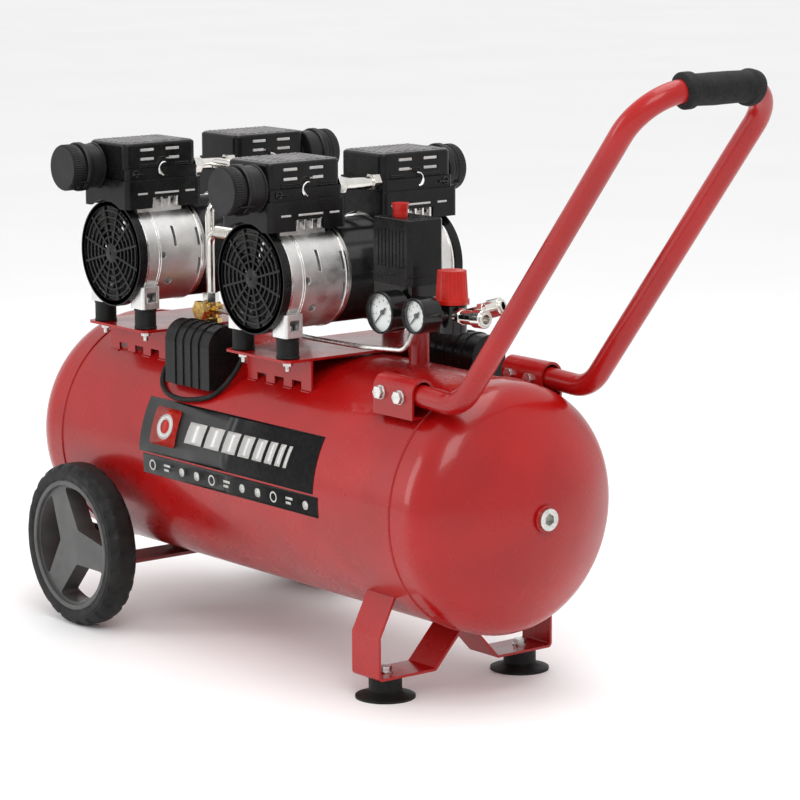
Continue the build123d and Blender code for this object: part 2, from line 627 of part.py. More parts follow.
# ---------------------------------------------------------------- motor/pump units
def crankcase():
    """Aluminium crankcase of the far side of a unit, with the unit's middle at x = 0."""
    case = bar("y", CASE_R, CASE_IN_Y, CASE_OUT_Y, 0, SHAFT_Z)
    deck_y = (PUMP_Y - DECK_HALF_Y, PUMP_Y + DECK_HALF_Y)
    case += block((-DECK_HALF_X, DECK_HALF_X), deck_y, (DECK_Z - DECK_DEPTH, DECK_Z))
    lug_bottom = PLATE_TOP_Z + BUFFER_H
    for x in (-BUFFER_DX, BUFFER_DX):
        lug = block((x - LUG_HALF_X, x + LUG_HALF_X), (BUFFER_Y - LUG_HALF_Y, BUFFER_Y + LUG_HALF_Y),
                    (lug_bottom, lug_bottom + LUG_H))
        case += fillet(lug.edges().filter_by(Axis.Z), LUG_FILLET)
    case -= bar("y", CASE_R - CASE_WALL, CASE_IN_Y + CASE_END_WALL, CASE_OUT_Y + 1, 0, SHAFT_Z)
    case -= bar("y", SHAFT_R + RUNNING, CASE_IN_Y - 1, CASE_OUT_Y, 0, SHAFT_Z)
    collar_y = CASE_OUT_Y - GRILLE_COLLAR
    case -= bar("y", GRILLE_R + LOOSE, collar_y - LOOSE, CASE_OUT_Y + 1, 0, SHAFT_Z, bore=CASE_R)
    case -= bar("z", LINER_R, SHAFT_Z, DECK_Z + 1, 0, PUMP_Y)
    for y, low, high in CASE_SLOTS:
        case -= block((-CASE_R - 9, CASE_R + 9), (y - 1.9, y + 1.9), (SHAFT_Z + low, SHAFT_Z + high))
    for y, rise in CASE_HOLES:
        case -= bar("x", 4.2, -CASE_R - 9, CASE_R + 9, y, SHAFT_Z + rise)
    for x in (-BUFFER_DX, BUFFER_DX):
        outward = 1 if x > 0 else -1
        case -= bar("z", STUD_R, lug_bottom - 1, lug_bottom + LUG_FLOOR + 1, x, BUFFER_Y)
        inward, half_y, height = LUG_POCKET
        pocket_x = sorted((x - inward * outward, x + (LUG_HALF_X + 1) * outward))
        pocket_z = (lug_bottom + LUG_FLOOR, lug_bottom + LUG_FLOOR + height)
        case -= block(pocket_x, (BUFFER_Y - half_y, BUFFER_Y + half_y), pocket_z)
    return case


def cylinder():
    """Finned aluminium cylinder of the far pump."""
    liner = bar("z", LINER_R, LINER_BOTTOM_Z, CYLINDER_TOP_Z, 0, PUMP_Y)
    liner += bar("z", FIN_R - 2, DECK_Z, DECK_Z + FIN_BASE_T, 0, PUMP_Y)
    fin = block((LINER_R - 1, FIN_R), (-FIN_T / 2, FIN_T / 2), (DECK_Z + FIN_BASE_T - 1, CYLINDER_TOP_Z))
    for index in range(FIN_COUNT):
        liner += Pos(0, PUMP_Y, 0) * Rot(0, 0, 360 / FIN_COUNT * index) * fin
    return liner - bar("z", BORE_R, LINER_BOTTOM_Z - 1, CYLINDER_TOP_Z + 1, 0, PUMP_Y)


def piston(side):
    """Piston, rod and big-end ring; side is 1 on the far pump and -1 on the near one."""
    y = side * PUMP_Y
    crown = bar("z", BORE_R - SLIDING, PISTON_Z, PISTON_Z + PISTON_T, 0, y)
    rod_bottom = SHAFT_Z + BIG_END_R - 1
    crown += block((-ROD_X, ROD_X), (y - ROD_Y, y + ROD_Y), (rod_bottom, PISTON_Z))
    sweep_r = ECCENTRIC_R + 2 * CRANK_THROW + LOOSE + 0.2
    half = BIG_END_W / 2
    return crown + bar("y", BIG_END_R, y - half, y + half, 0, SHAFT_Z, bore=sweep_r)


def head_body():
    """Black head casting of the far pump, open below around the cylinder."""
    body = block((-HEAD_X, HEAD_X), HEAD_Y, (HEAD_BOTTOM_Z, HEAD_TOP_Z))
    body = fillet(body.edges().filter_by(Axis.Z), 7.0)
    step = block((-STEP_X, STEP_X), STEP_Y, (HEAD_TOP_Z, STEP_TOP_Z))
    body += fillet(step.edges().filter_by(Axis.Z), 6.0)
    inner_y = (HEAD_Y[0] + HEAD_WALL, HEAD_Y[1] - HEAD_WALL)
    body -= block((-HEAD_X + HEAD_WALL, HEAD_X - HEAD_WALL), inner_y, (HEAD_BOTTOM_Z - 1, CYLINDER_TOP_Z))
    body -= bar("z", FIN_R, CYLINDER_TOP_Z - 1, CYLINDER_TOP_Z + VALVE_PLATE_T, 0, PUMP_Y)
    body -= bar("z", BORE_R - 5, CYLINDER_TOP_Z, STEP_TOP_Z - 4, 0, PUMP_Y)
    body -= block((-HEAD_X - 1, HEAD_X + 1), HEAD_WINDOW_Y, (HEAD_BOTTOM_Z - 1, HEAD_WINDOW_TOP_Z))
    slot_z = (HEAD_SLOT_Z - HEAD_SLOT_HALF, HEAD_SLOT_Z + HEAD_SLOT_HALF)
    for y_mid, half in HEAD_SLOTS:
        body -= block((-HEAD_X - 1, HEAD_X + 1), (y_mid - half, y_mid + half), slot_z)
    return body - bar("y", GRILLE_R + 1, 0, HEAD_Y[1] + 1, 0, SHAFT_Z)


def vent_box():
    """Slotted cover on top of the far head."""
    box = block((-VENT_X, VENT_X), STEP_Y, (STEP_TOP_Z, VENT_TOP_Z))
    box = fillet(box.edges().filter_by(Axis.Z), 8.0)
    box = fillet(box.faces().sort_by(Axis.Z)[-1].edges(), 3.0)
    inner_y = (STEP_Y[0] + VENT_WALL, STEP_Y[1] - VENT_WALL)
    inner_x = (-VENT_X + VENT_WALL, VENT_X - VENT_WALL)
    inner = block(inner_x, inner_y, (STEP_TOP_Z - 1, VENT_TOP_Z - VENT_WALL))
    box -= fillet(inner.edges().filter_by(Axis.Z), 6.0)
    half_y, half_z = VENT_SLOT_HALF
    for y in VENT_SLOT_Y:
        for rise in VENT_SLOT_RISE:
            z = STEP_TOP_Z + rise
            box -= block((-VENT_X - 1, VENT_X + 1), (y - half_y, y + half_y), (z - half_z, z + half_z))
    half_x, half_y = VENT_TOP_SLOT_HALF
    for index in range(VENT_TOP_SLOTS):
        y = VENT_TOP_SLOT_Y + VENT_TOP_PITCH * index
        lid_z = (VENT_TOP_Z - VENT_WALL - 1, VENT_TOP_Z + 1)
        box -= block((-half_x, half_x), (y - half_y, y + half_y), lid_z)
    return box


def air_filter(dx):
    """Round intake filter on the far head, dx from the unit's middle."""
    body = bar("y", FILTER_R, FILTER_BACK_Y, FILTER_FACE_Y - 1, dx, FILTER_Z)
    body += bar("y", FILTER_R - 1, FILTER_FACE_Y - 1, FILTER_FACE_Y, dx, FILTER_Z)
    body += bar("y", FILTER_R + FILTER_RING_LIFT, *FILTER_RING_Y, dx, FILTER_Z)
    width, depth = FILTER_GROOVE
    groove_y = FILTER_RING_Y[1]
    body -= bar("y", FILTER_R + 3, groove_y, groove_y + width, dx, FILTER_Z, bore=FILTER_R - depth)
    body += bar("y", FILTER_NECK_R, STEP_Y[1], FILTER_BACK_Y, dx, FILTER_Z)
    inner_y = (FILTER_BACK_Y + FILTER_WALL - 1, FILTER_FACE_Y - FILTER_WALL)
    return body - bar("y", FILTER_R - FILTER_WALL, *inner_y, dx, FILTER_Z)


def fan_grille():
    """Fan cover of the far end: collar, rings and spokes."""
    face_in = CASE_OUT_Y
    grille = bar("y", GRILLE_R, face_in, GRILLE_FACE_Y, 0, SHAFT_Z, bore=GRILLE_R - GRILLE_RIM)
    grille += bar("y", GRILLE_R, face_in - GRILLE_COLLAR, face_in, 0, SHAFT_Z, bore=CASE_R)
    grille += bar("y", GRILLE_HUB_R, face_in, GRILLE_FACE_Y - 1, 0, SHAFT_Z)
    for index in range(GRILLE_RINGS):
        radius = GRILLE_HUB_R + GRILLE_RING_PITCH * (index + 1)
        ring_out, ring_in = radius + GRILLE_RING_HALF, radius - GRILLE_RING_HALF
        grille += bar("y", ring_out, face_in + 1, GRILLE_FACE_Y - 1, 0, SHAFT_Z, bore=ring_in)
    spoke = block((GRILLE_HUB_R - 2, GRILLE_R - GRILLE_RIM + 1), (face_in + 0.5, GRILLE_FACE_Y - 0.5),
                  (-GRILLE_SPOKE_HALF, GRILLE_SPOKE_HALF))
    for index in range(GRILLE_SPOKES):
        grille += Pos(0, 0, SHAFT_Z) * Rot(0, 360 / GRILLE_SPOKES * (index + 0.5), 0) * spoke
    return grille


def fan():
    """Cooling fan on the far end of the shaft."""
    fan_y = (FAN_Y - FAN_HALF_W, FAN_Y + FAN_HALF_W)
    wheel = bar("y", FAN_HUB_R, *fan_y, 0, SHAFT_Z)
    root = FAN_HUB_R - 2
    blade = Pos((root + FAN_R) / 2, 0, 0) * Rot(BLADE_TILT, 0, 0) * Box(FAN_R - root, BLADE_T, 2 * FAN_HALF_W)
    for index in range(FAN_BLADES):
        wheel += Pos(0, FAN_Y, SHAFT_Z) * Rot(0, 360 / FAN_BLADES * index, 0) * blade
    return wheel - bar("y", SHAFT_R, fan_y[0] - 1, SHAFT_END_Y + 1, 0, SHAFT_Z)


def shaft():
    """Motor shaft with its rotor and two opposed eccentrics."""
    line = bar("y", SHAFT_R, -SHAFT_END_Y, SHAFT_END_Y, 0, SHAFT_Z)
    line += bar("y", ROTOR_R, -STATOR_HALF, STATOR_HALF, 0, SHAFT_Z)
    half = ECCENTRIC_W / 2
    for side in (-1, 1):
        y = side * PUMP_Y
        line += bar("y", ECCENTRIC_R, y - half, y + half, 0, SHAFT_Z + side * CRANK_THROW)
    return line


def rubber_mounts():
    """Buffers and their studs, one list each, for one unit's middle at x = 0."""
    buffers, studs = [], []
    lug_bottom = PLATE_TOP_Z + BUFFER_H
    for x in (-BUFFER_DX, BUFFER_DX):
        buffers += both_sides(bar("z", BUFFER_R, PLATE_TOP_Z, lug_bottom, x, BUFFER_Y))
        plate_low = PLATE_TOP_Z - PLATE_T
        low = bar("z", STUD_R, PLATE_TOP_Z - STUD_LOW, PLATE_TOP_Z, x, BUFFER_Y)
        low += hexagon("z", STUD_FLATS, plate_low - 6, plate_low, x, BUFFER_Y)
        high = bar("z", STUD_R, lug_bottom, lug_bottom + STUD_HIGH, x, BUFFER_Y)
        high += hexagon("z", STUD_FLATS, lug_bottom + LUG_FLOOR, lug_bottom + STUD_HIGH - 1, x, BUFFER_Y)
        studs += both_sides(low) + both_sides(high)
    return buffers, studs


def saddle_plate(centre_x, envelope):
    """Bent sheet that carries one unit, welded to the tank by two webs."""
    x = (centre_x - PLATE_HALF_X, centre_x + PLATE_HALF_X)
    plate = block(x, (-PLATE_HALF_Y, PLATE_HALF_Y), (PLATE_TOP_Z - PLATE_T, PLATE_TOP_Z))
    plate = fillet(plate.edges().filter_by(Axis.Z), PLATE_CORNER_R)
    web = block(x, (WEB_IN_Y, WEB_IN_Y + PLATE_T), (TANK_Z, PLATE_TOP_Z - PLATE_T))
    notch_top = tank_wall_at(WEB_IN_Y) + WEB_NOTCH_RISE
    for dx in WEB_NOTCHES:
        notch_x = (centre_x + dx - WEB_NOTCH_HALF, centre_x + dx + WEB_NOTCH_HALF)
        web -= block(notch_x, (WEB_IN_Y - 1, WEB_IN_Y + PLATE_T + 1), (TANK_Z, notch_top))
    for side in both_sides(web):
        plate += side
    for dx in (-BUFFER_DX, BUFFER_DX):
        for y in (-BUFFER_Y, BUFFER_Y):
            plate -= bar("z", STUD_R, PLATE_TOP_Z - PLATE_T - 1, PLATE_TOP_Z + 1, centre_x + dx, y)
    return plate - envelope


def build_units(envelope):
    groups = {name: [] for name in (
        "saddle_plates", "rubber_buffers", "buffer_studs", "motor_cans", "stators", "fan_grilles",
        "cylinders", "valve_plates", "head_bodies", "vent_boxes", "air_filters")}
    case, pump, head, vent = crankcase(), cylinder(), head_body(), vent_box()
    grille, blades, line = fan_grille(), fan(), shaft()
    lid = bar("z", FIN_R, CYLINDER_TOP_Z, CYLINDER_TOP_Z + VALVE_PLATE_T, 0, PUMP_Y)
    can = bar("y", CAN_R, -CASE_IN_Y, CASE_IN_Y, 0, SHAFT_Z, bore=CAN_R - CAN_WALL)
    stator = bar("y", CAN_R - CAN_WALL, -STATOR_HALF, STATOR_HALF, 0, SHAFT_Z, bore=ROTOR_R + AIR_GAP)
    buffers, studs = rubber_mounts()
    for unit, x in UNIT_X.items():
        place = Pos(x, 0, 0)
        sign = -1 if unit == "rear" else 1
        filters = [air_filter(-sign * FILTER_DX), mirrored(air_filter(sign * FILTER_DX))]
        groups["saddle_plates"].append(saddle_plate(x, envelope))
        groups["rubber_buffers"] += [place * shape for shape in buffers]
        groups["buffer_studs"] += [place * shape for shape in studs]
        groups["motor_cans"].append(place * can)
        groups["stators"].append(place * stator)
        groups["fan_grilles"] += [place * shape for shape in both_sides(grille)]
        groups["cylinders"] += [place * shape for shape in both_sides(pump)]
        groups["valve_plates"] += [place * shape for shape in both_sides(lid)]
        groups["head_bodies"] += [place * shape for shape in both_sides(head)]
        groups["vent_boxes"] += [place * shape for shape in both_sides(vent)]
        groups["air_filters"] += [place * shape for shape in filters]
        keep(f"crankcase_{unit}", *[place * shape for shape in both_sides(case)])
        keep(f"shaft_{unit}", place * line)
        keep(f"fans_{unit}", *[place * shape for shape in both_sides(blades)])
        keep(f"piston_{unit}_near", place * piston(-1))
        keep(f"piston_{unit}_far", place * piston(1))
    for name, shapes in groups.items():
        keep(name, *shapes)


# ---------------------------------------------------------------- air circuit
def build_pipes():
    pipes = []
    for x in UNIT_X.values():
        link = bar("y", PIPE_R, -STEP_Y[0], STEP_Y[0], x + LINK_DX, LINK_Z)
        flats, length = PIPE_NUT
        for nut in both_sides(hexagon("y", flats, STEP_Y[0] - length, STEP_Y[0], x + LINK_DX, LINK_Z)):
            link += nut
        pipes.append(link)
    front_x, rear_x = UNIT_X["front"] + LINK_DX, UNIT_X["rear"] + LINK_DX
    front = FilletPolyline(
        (front_x, 0, LINK_Z), (-55, 0, LINK_Z), (-68, CHECK_Y, DELIVERY_Z),
        (CHECK_X, CHECK_Y, DELIVERY_Z), (CHECK_X, CHECK_Y, CHECK_TOP_Z), radius=18)
    rear = FilletPolyline(
        (rear_x, 0, LINK_Z), (CHECK_X, 0, LINK_Z), (CHECK_X, CHECK_Y, DELIVERY_Z + 26),
        (CHECK_X, CHECK_Y, CHECK_TOP_Z + 30), radius=14)
    pipes = pipes[0] + pipes[1] + tube_along(front, DELIVERY_R) + tube_along(rear, DELIVERY_R)
    pipes += hexagon("z", 17, CHECK_TOP_Z, CHECK_TOP_Z + 12, CHECK_X, CHECK_Y)
    keep("air_pipes", pipes)

    valve = hexagon("z", 24, CHECK_BOSS_TOP_Z, CHECK_BOSS_TOP_Z + 6.5, CHECK_X, CHECK_Y)
    valve += bar("z", 9.5, CHECK_BOSS_TOP_Z + 6.5, CHECK_TOP_Z, CHECK_X, CHECK_Y)
    valve += bar("y", 8.5, CHECK_Y - 14, CHECK_Y + 12, CHECK_X, CHECK_PORT_Z)
    valve += hexagon("y", 22, CHECK_Y - 19, CHECK_Y - 12, CHECK_X, CHECK_PORT_Z)
    valve += bar("x", 5, CHECK_X, CHECK_X + 18, CHECK_Y, CHECK_PORT_Z)
    keep("check_valve", valve)

    turn_x = POST_X + 17
    low_z = PLATE_TOP_Z + UNLOADER_LIFT
    end_x, end_z = turn_x + 3, MANIFOLD_Z - 2
    run = FilletPolyline(
        (CHECK_X + 18, CHECK_Y, CHECK_PORT_Z), (CHECK_X + 38, CHECK_Y, CHECK_PORT_Z), (-40, -46, low_z),
        (70, -50, low_z), (160, -48, low_z + 1), (turn_x, -34, low_z + 3), (end_x, -26, end_z - 20),
        (end_x, -25, end_z), (end_x, -MANIFOLD_R + 1, end_z), radius=[20, 60, 60, 60, 10, 10, 6])
    nut = bar("y", 6, -MANIFOLD_R - 5, -MANIFOLD_R + 3, end_x, end_z)
    keep("unloader_pipe", (tube_along(run, UNLOADER_R) + nut) - manifold_form())


def manifold_form():
    """The manifold's outside: a level bar with a stub up to the pressure switch."""
    form = bar("x", MANIFOLD_R, *MANIFOLD_X, 0, MANIFOLD_Z)
    form += bar("x", MANIFOLD_NECK_R, MANIFOLD_X[1], REGULATOR_X, 0, MANIFOLD_Z)
    return form + hexagon("z", MANIFOLD_STUB_FLATS, MANIFOLD_Z, SWITCH_COVER_Z - SWITCH_BASE_T, SWITCH_X, 0)


def regulator_form():
    """The regulator's outside with its bonnet."""
    form = bar("z", REGULATOR_R, *REGULATOR_Z, REGULATOR_X, 0)
    return form + bar("z", BONNET_R, REGULATOR_Z[1], BONNET_TOP_Z, REGULATOR_X, 0)


def coupler_plane(coupler):
    """Plane at a coupler's root with Z along its axis."""
    turn, rise = radians(coupler["turn"]), radians(coupler["rise"])
    direction = (cos(turn) * cos(rise), sin(turn) * cos(rise), sin(rise))
    return Plane(origin=coupler["root"], z_dir=direction)


def build_switch():
    base_z = SWITCH_COVER_Z - SWITCH_BASE_T
    length, width, height = SWITCH_COVER
    half_x, half_y = length / 2 - SWITCH_BASE_INSET, width / 2 - SWITCH_BASE_INSET
    base = block((SWITCH_X - half_x, SWITCH_X + half_x), (-half_y, half_y), (base_z, SWITCH_COVER_Z))
    core_x, core_y, core_h = SWITCH_CORE
    core_z = (SWITCH_COVER_Z, SWITCH_COVER_Z + core_h)
    base += block((SWITCH_X - core_x, SWITCH_X + core_x), (-core_y, core_y), core_z)
    keep("switch_base", chamfer(base.edges().filter_by(Axis.Z), 3.0))

    top_z = SWITCH_COVER_Z + height
    cover_x = (SWITCH_X - length / 2, SWITCH_X + length / 2)
    cover = block(cover_x, (-width / 2, width / 2), (SWITCH_COVER_Z, top_z))
    cover = chamfer(cover.edges().filter_by(Axis.Z), 5.0)
    cover = fillet(cover.faces().sort_by(Axis.Z)[-1].edges(), 2.0)
    half_x, half_y = length / 2 - SWITCH_WALL, width / 2 - SWITCH_WALL
    inner_z = (SWITCH_COVER_Z - 1, top_z - SWITCH_WALL)
    inner = block((SWITCH_X - half_x, SWITCH_X + half_x), (-half_y, half_y), inner_z)
    cover -= chamfer(inner.edges().filter_by(Axis.Z), 4.0)
    cover -= bar("z", BUTTON_R + LOOSE, top_z - 5, top_z + 1, BUTTON_X, BUTTON_Y)
    keep("switch_cover", cover)

    button_top = top_z + BUTTON_RISE
    button = bar("z", BUTTON_SHAFT_R, top_z - BUTTON_DEPTH, button_top, BUTTON_X, BUTTON_Y)
    cap = Cone(BUTTON_SHAFT_R, BUTTON_R, BUTTON_CAP_T)
    keep("switch_button", button + Pos(BUTTON_X, BUTTON_Y, button_top - BUTTON_CAP_T / 2) * cap)


def build_regulator():
    port = bar("x", MANIFOLD_BORE_R, POST_X, REGULATOR_X, 0, MANIFOLD_Z)
    keep("manifold", manifold_form() - regulator_form() - port)
    keep("regulator_body", regulator_form())

    low, high = KNOB_Z
    height = high - low
    knob = Pos(REGULATOR_X, 0, low + height / 2) * Cone(KNOB_FLANGE_R - 1.2, KNOB_TOP_R, height)
    foot_r = KNOB_FLANGE_R - KNOB_GROOVE_R / 2
    for index in range(KNOB_RIBS):
        angle = radians(360 / KNOB_RIBS * index)
        foot = Vector(REGULATOR_X + foot_r * cos(angle), foot_r * sin(angle), low + KNOB_FLANGE_T + 1)
        tip = Vector(REGULATOR_X + KNOB_TOP_R * cos(angle), KNOB_TOP_R * sin(angle), high + 1)
        groove = extrude(Circle(KNOB_GROOVE_R), amount=(tip - foot).length + 2)
        knob -= Plane(origin=foot, z_dir=tip - foot) * groove
    knob += bar("z", KNOB_FLANGE_R, low, low + KNOB_FLANGE_T, REGULATOR_X, 0)
    knob -= bar("z", BONNET_R + RUNNING, low - 1, BONNET_TOP_Z + 2, REGULATOR_X, 0)
    keep("regulator_knob", knob)


def build_gauges():
    cases, dials, lenses = [], [], []
    trim = manifold_form() + regulator_form()
    for name, (x, z, radius) in GAUGES.items():
        case = bar("y", radius, GAUGE_FACE_Y, GAUGE_BACK_Y, x, z)
        case -= bar("y", radius - GAUGE_WALL, GAUGE_FACE_Y - 1, GAUGE_FACE_Y + GAUGE_DEPTH, x, z)
        case += bar("y", GAUGE_STEM_R, GAUGE_BACK_Y, 0, x, MANIFOLD_Z)
        case += hexagon("y", 14, -26, -20, x, MANIFOLD_Z)
        cases.append(case - trim)
        inside = radius - GAUGE_WALL
        dial_y = GAUGE_FACE_Y + GAUGE_DEPTH - 1
        dials.append(bar("y", inside, dial_y, dial_y + 1, x, z))
        lenses.append(bar("y", inside, GAUGE_FACE_Y + 1, GAUGE_FACE_Y + 2.5, x, z))
        needle = bar("y", NEEDLE_HUB_R, GAUGE_FACE_Y + 3, dial_y - LOOSE, x, z)
        blade = Polyline((-0.3 * radius, -1.1), (0, -1.1), (inside - 4, -0.35), (inside - 4, 0.35), (0, 1.1),
                         (-0.3 * radius, 1.1), close=True)
        blade = Rot(90, 0, 0) * Rot(0, 0, NEEDLE_ANGLE) * extrude(make_face(blade), amount=NEEDLE_T)
        needle += Pos(x, GAUGE_FACE_Y + 5, z) * blade
        keep(f"needle_{name}", needle)
    keep("gauge_cases", *cases)
    keep("gauge_dials", *dials)
    keep("gauge_lenses", *lenses)


def build_couplers():
    bodies = []
    for name, coupler in COUPLERS.items():
        length, hex_at = COUPLER_LENGTH, coupler["hex_at"]
        body = extrude(Circle(COUPLER_STEM_R), amount=hex_at + 1)
        nut = extrude(RegularPolygon(COUPLER_FLATS / 2, 6, major_radius=False), amount=COUPLER_HEX_T)
        body += Pos(0, 0, hex_at) * nut
        sleeve_at = length - SLEEVE_LENGTH - SLEEVE_SETBACK
        body += Pos(0, 0, hex_at + COUPLER_HEX_T) * extrude(
            Circle(COUPLER_BODY_R), amount=length - hex_at - COUPLER_HEX_T)
        bore = extrude(Circle(COUPLER_BORE_R), amount=COUPLER_BORE_LENGTH)
        body -= Pos(0, 0, length - COUPLER_BORE_LENGTH) * bore
        sleeve = extrude(Circle(SLEEVE_R) - Circle(COUPLER_BODY_R + RUNNING), amount=SLEEVE_LENGTH)
        sleeve = chamfer(sleeve.edges().filter_by(GeomType.CIRCLE).sort_by(SortBy.RADIUS)[-2:], 1.0)
        plane = coupler_plane(coupler)
        bodies.append(plane * body - regulator_form())
        keep(f"coupler_sleeve_{name}", plane * Pos(0, 0, sleeve_at) * sleeve)
    keep("coupler_bodies", *bodies)

    x, z, _ = GAUGES["tank"]
    root, bonnet, tip = SAFETY_Y
    valve = bar("y", GAUGE_STEM_R, 0, root + 3, x, MANIFOLD_Z)
    valve += hexagon("y", SAFETY_FLATS, root + 3, bonnet, x, MANIFOLD_Z)
    valve += bar("y", SAFETY_R, bonnet, tip, x, MANIFOLD_Z)
    valve -= bar("y", PULL_ROD_R + RUNNING, bonnet, tip + 1, x, MANIFOLD_Z)
    keep("safety_valve", valve - manifold_form())
    ring = bar("y", PULL_ROD_R, bonnet + 3, tip + 5, x, MANIFOLD_Z)
    ring += Pos(x, tip + 4 + RING_R, MANIFOLD_Z) * Torus(RING_R, RING_WIRE_R)
    keep("safety_ring", ring)


# ---------------------------------------------------------------- electrics
def bend_radii(route):
    """The largest arc that each corner of a cable's route has room for."""
    points = [Vector(*point) for point in route]
    radii = []
    for before, corner, after in zip(points, points[1:], points[2:]):
        turn = (corner - before).get_angle(after - corner)
        shorter = min((corner - before).length, (after - corner).length)
        radii.append(BEND_SHARE * shorter / tan(radians(turn) / 2))
    return radii


def build_boxes(envelope):
    boxes = []
    for name, (x, side) in BOXES.items():
        low, high = BOX_Z
        radius = BOX_WIDTH / 2

        def section(grow):
            """Round-topped outline in the YZ plane, grown outwards."""
            lower = Rectangle(BOX_WIDTH + 2 * grow, high - radius - low)
            lower = Pos(side * BOX_Y, (low + high - radius) / 2) * lower
            return lower + Pos(side * BOX_Y, high - radius) * Circle(radius + grow)

        plane = Plane(origin=(x, 0, 0), x_dir=(0, 1, 0), z_dir=(1, 0, 0))
        case = plane * extrude(section(0), amount=BOX_LENGTH)
        rib_width, rib_height = BOX_RIB
        for rib in range(BOX_RIBS):
            rib_at = BOX_RIB_AT + BOX_RIB_PITCH * rib
            case += plane * Pos(0, 0, rib_at) * extrude(section(rib_height), amount=rib_width)
        gland = bar("x", GLAND_R, x - GLAND_LENGTH, x, side * BOX_Y, GLAND_Z)
        boxes.append((case + gland) - envelope)
    keep("capacitor_boxes", *boxes)

    start_x = BOXES["near"][0] - GLAND_LENGTH
    route = [
        (start_x, -BOX_Y, GLAND_Z), (start_x - 9, -BOX_Y, GLAND_Z),
        (start_x - 13, -107, 322), (-150, -113, 311),
        (-141, -119, 303), (-121, -124.5, 296), (-92, -126, 294), (-62, -124, 298), (-38, -119, 304),
        (-22, -109, 320), (-13, -98, 340), (-9, -92, 358), (-5, -86, 379), (5, -82, 396), (16, -80, 412),
    ]
    path = FilletPolyline(*route, radius=bend_radii(route))
    case_form = bar("y", CASE_R, -CASE_OUT_Y, CASE_OUT_Y, UNIT_X["front"], SHAFT_Z)
    keep("capacitor_cable", tube_along(path, CABLE_R) - case_form)


# ---------------------------------------------------------------- build and write
def main():
    envelope = tank_envelope()
    build_tank(envelope)
    build_feet(envelope)
    build_wheels(envelope)
    build_handle(envelope)
    build_units(envelope)
    build_pipes()
    build_switch()
    build_regulator()
    build_gauges()
    build_couplers()
    build_boxes(envelope)

    box = Compound([solid for solids in parts.values() for solid in solids]).bounding_box()
    home = Pos(-(box.min.X + box.max.X) / 2, -(box.min.Y + box.max.Y) / 2, -box.min.Z)
    print("moved by", home.position)
    os.makedirs("parts", exist_ok=True)
    for name, solids in parts.items():
        export_step(home * Compound(solids), f"parts/{name}.step")


main()
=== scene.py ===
from math import ceil, cos, pi, radians, sin, sqrt

import bpy
from mathutils import Matrix, Vector, noise


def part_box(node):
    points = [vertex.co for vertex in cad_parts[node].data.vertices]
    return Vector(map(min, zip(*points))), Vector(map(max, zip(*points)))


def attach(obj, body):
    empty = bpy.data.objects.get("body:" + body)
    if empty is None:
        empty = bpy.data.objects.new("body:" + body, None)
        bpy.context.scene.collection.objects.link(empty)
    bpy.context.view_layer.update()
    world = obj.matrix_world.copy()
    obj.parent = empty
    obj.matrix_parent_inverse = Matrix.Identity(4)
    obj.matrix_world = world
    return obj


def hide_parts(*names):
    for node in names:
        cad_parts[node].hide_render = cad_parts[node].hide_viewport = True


# Looks of a twin-motor portable air compressor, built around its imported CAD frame.
# Sizes are in millimetres in the tank's frame: X along the tank from its middle towards the
# handle, Y across it with the gauges on the -Y side, Z up from the floor.

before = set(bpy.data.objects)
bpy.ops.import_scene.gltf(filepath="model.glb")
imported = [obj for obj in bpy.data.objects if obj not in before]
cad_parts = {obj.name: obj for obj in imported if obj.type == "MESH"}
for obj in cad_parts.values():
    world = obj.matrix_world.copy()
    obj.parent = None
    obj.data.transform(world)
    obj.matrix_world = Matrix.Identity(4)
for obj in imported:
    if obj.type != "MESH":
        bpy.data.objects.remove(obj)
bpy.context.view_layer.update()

MM = 0.001
tank_low, tank_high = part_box("tank_shell")
ORIGIN = Vector(((tank_low.x + tank_high.x) / 2, 0, 0))


def span(node):
    """Lowest and highest corner of a CAD node, in millimetres in the tank's frame."""
    low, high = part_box(node)
    return (low - ORIGIN) / MM, (high - ORIGIN) / MM


def middle(node):
    low, high = span(node)
    return (low + high) / 2


def row(point):
    """A point of the tank's frame in millimetres, as a point of the row frame in metres."""
    return ORIGIN + Vector(point) * MM


TANK_LOW, TANK_HIGH = span("tank_shell")
TANK_R = (TANK_HIGH.z - TANK_LOW.z) / 2
TANK_Z = middle("tank_shell").z
SEAM_X = TANK_HIGH.x
UNIT_X = {unit: middle(f"crankcase_{unit}").x for unit in ("rear", "front")}
CASE_LOW, CASE_HIGH = span("crankcase_front")
CASE_R = (CASE_HIGH.x - CASE_LOW.x) / 2
SHAFT_Z = middle("shaft_front").z
VENT_LOW, VENT_HIGH = span("vent_boxes")
VENT_X = VENT_HIGH.x - UNIT_X["front"]
HEAD_X = span("head_bodies")[1].x - UNIT_X["front"]
STEP_X = VENT_X + 3.5   # half width of the raised top of each head


# ---------------------------------------------------------------- materials
def node(tree, kind, inputs=None, **settings):
    """Add a shader node; an input is a value or the socket that it is linked from."""
    made = tree.nodes.new(kind)
    for name, value in settings.items():
        setattr(made, name, value)
    for key, value in (inputs or {}).items():
        if isinstance(value, bpy.types.NodeSocket):
            tree.links.new(value, made.inputs[key])
        else:
            made.inputs[key].default_value = value
    return made


def noise_of(tree, where, size, detail=3.0, stretch=None):
    """Noise whose features are about `size` metres; stretch scales it along each axis."""
    if stretch:
        where = node(tree, "ShaderNodeMapping", {"Vector": where, "Scale": stretch}).outputs[0]
    inputs = {"Vector": where, "Scale": 1 / size, "Detail": detail}
    return node(tree, "ShaderNodeTexNoise", inputs).outputs["Fac"]


def remap(tree, value, start, end, low, high):
    inputs = {"Value": value, "From Min": start, "From Max": end, "To Min": low, "To Max": high}
    return node(tree, "ShaderNodeMapRange", inputs).outputs["Result"]


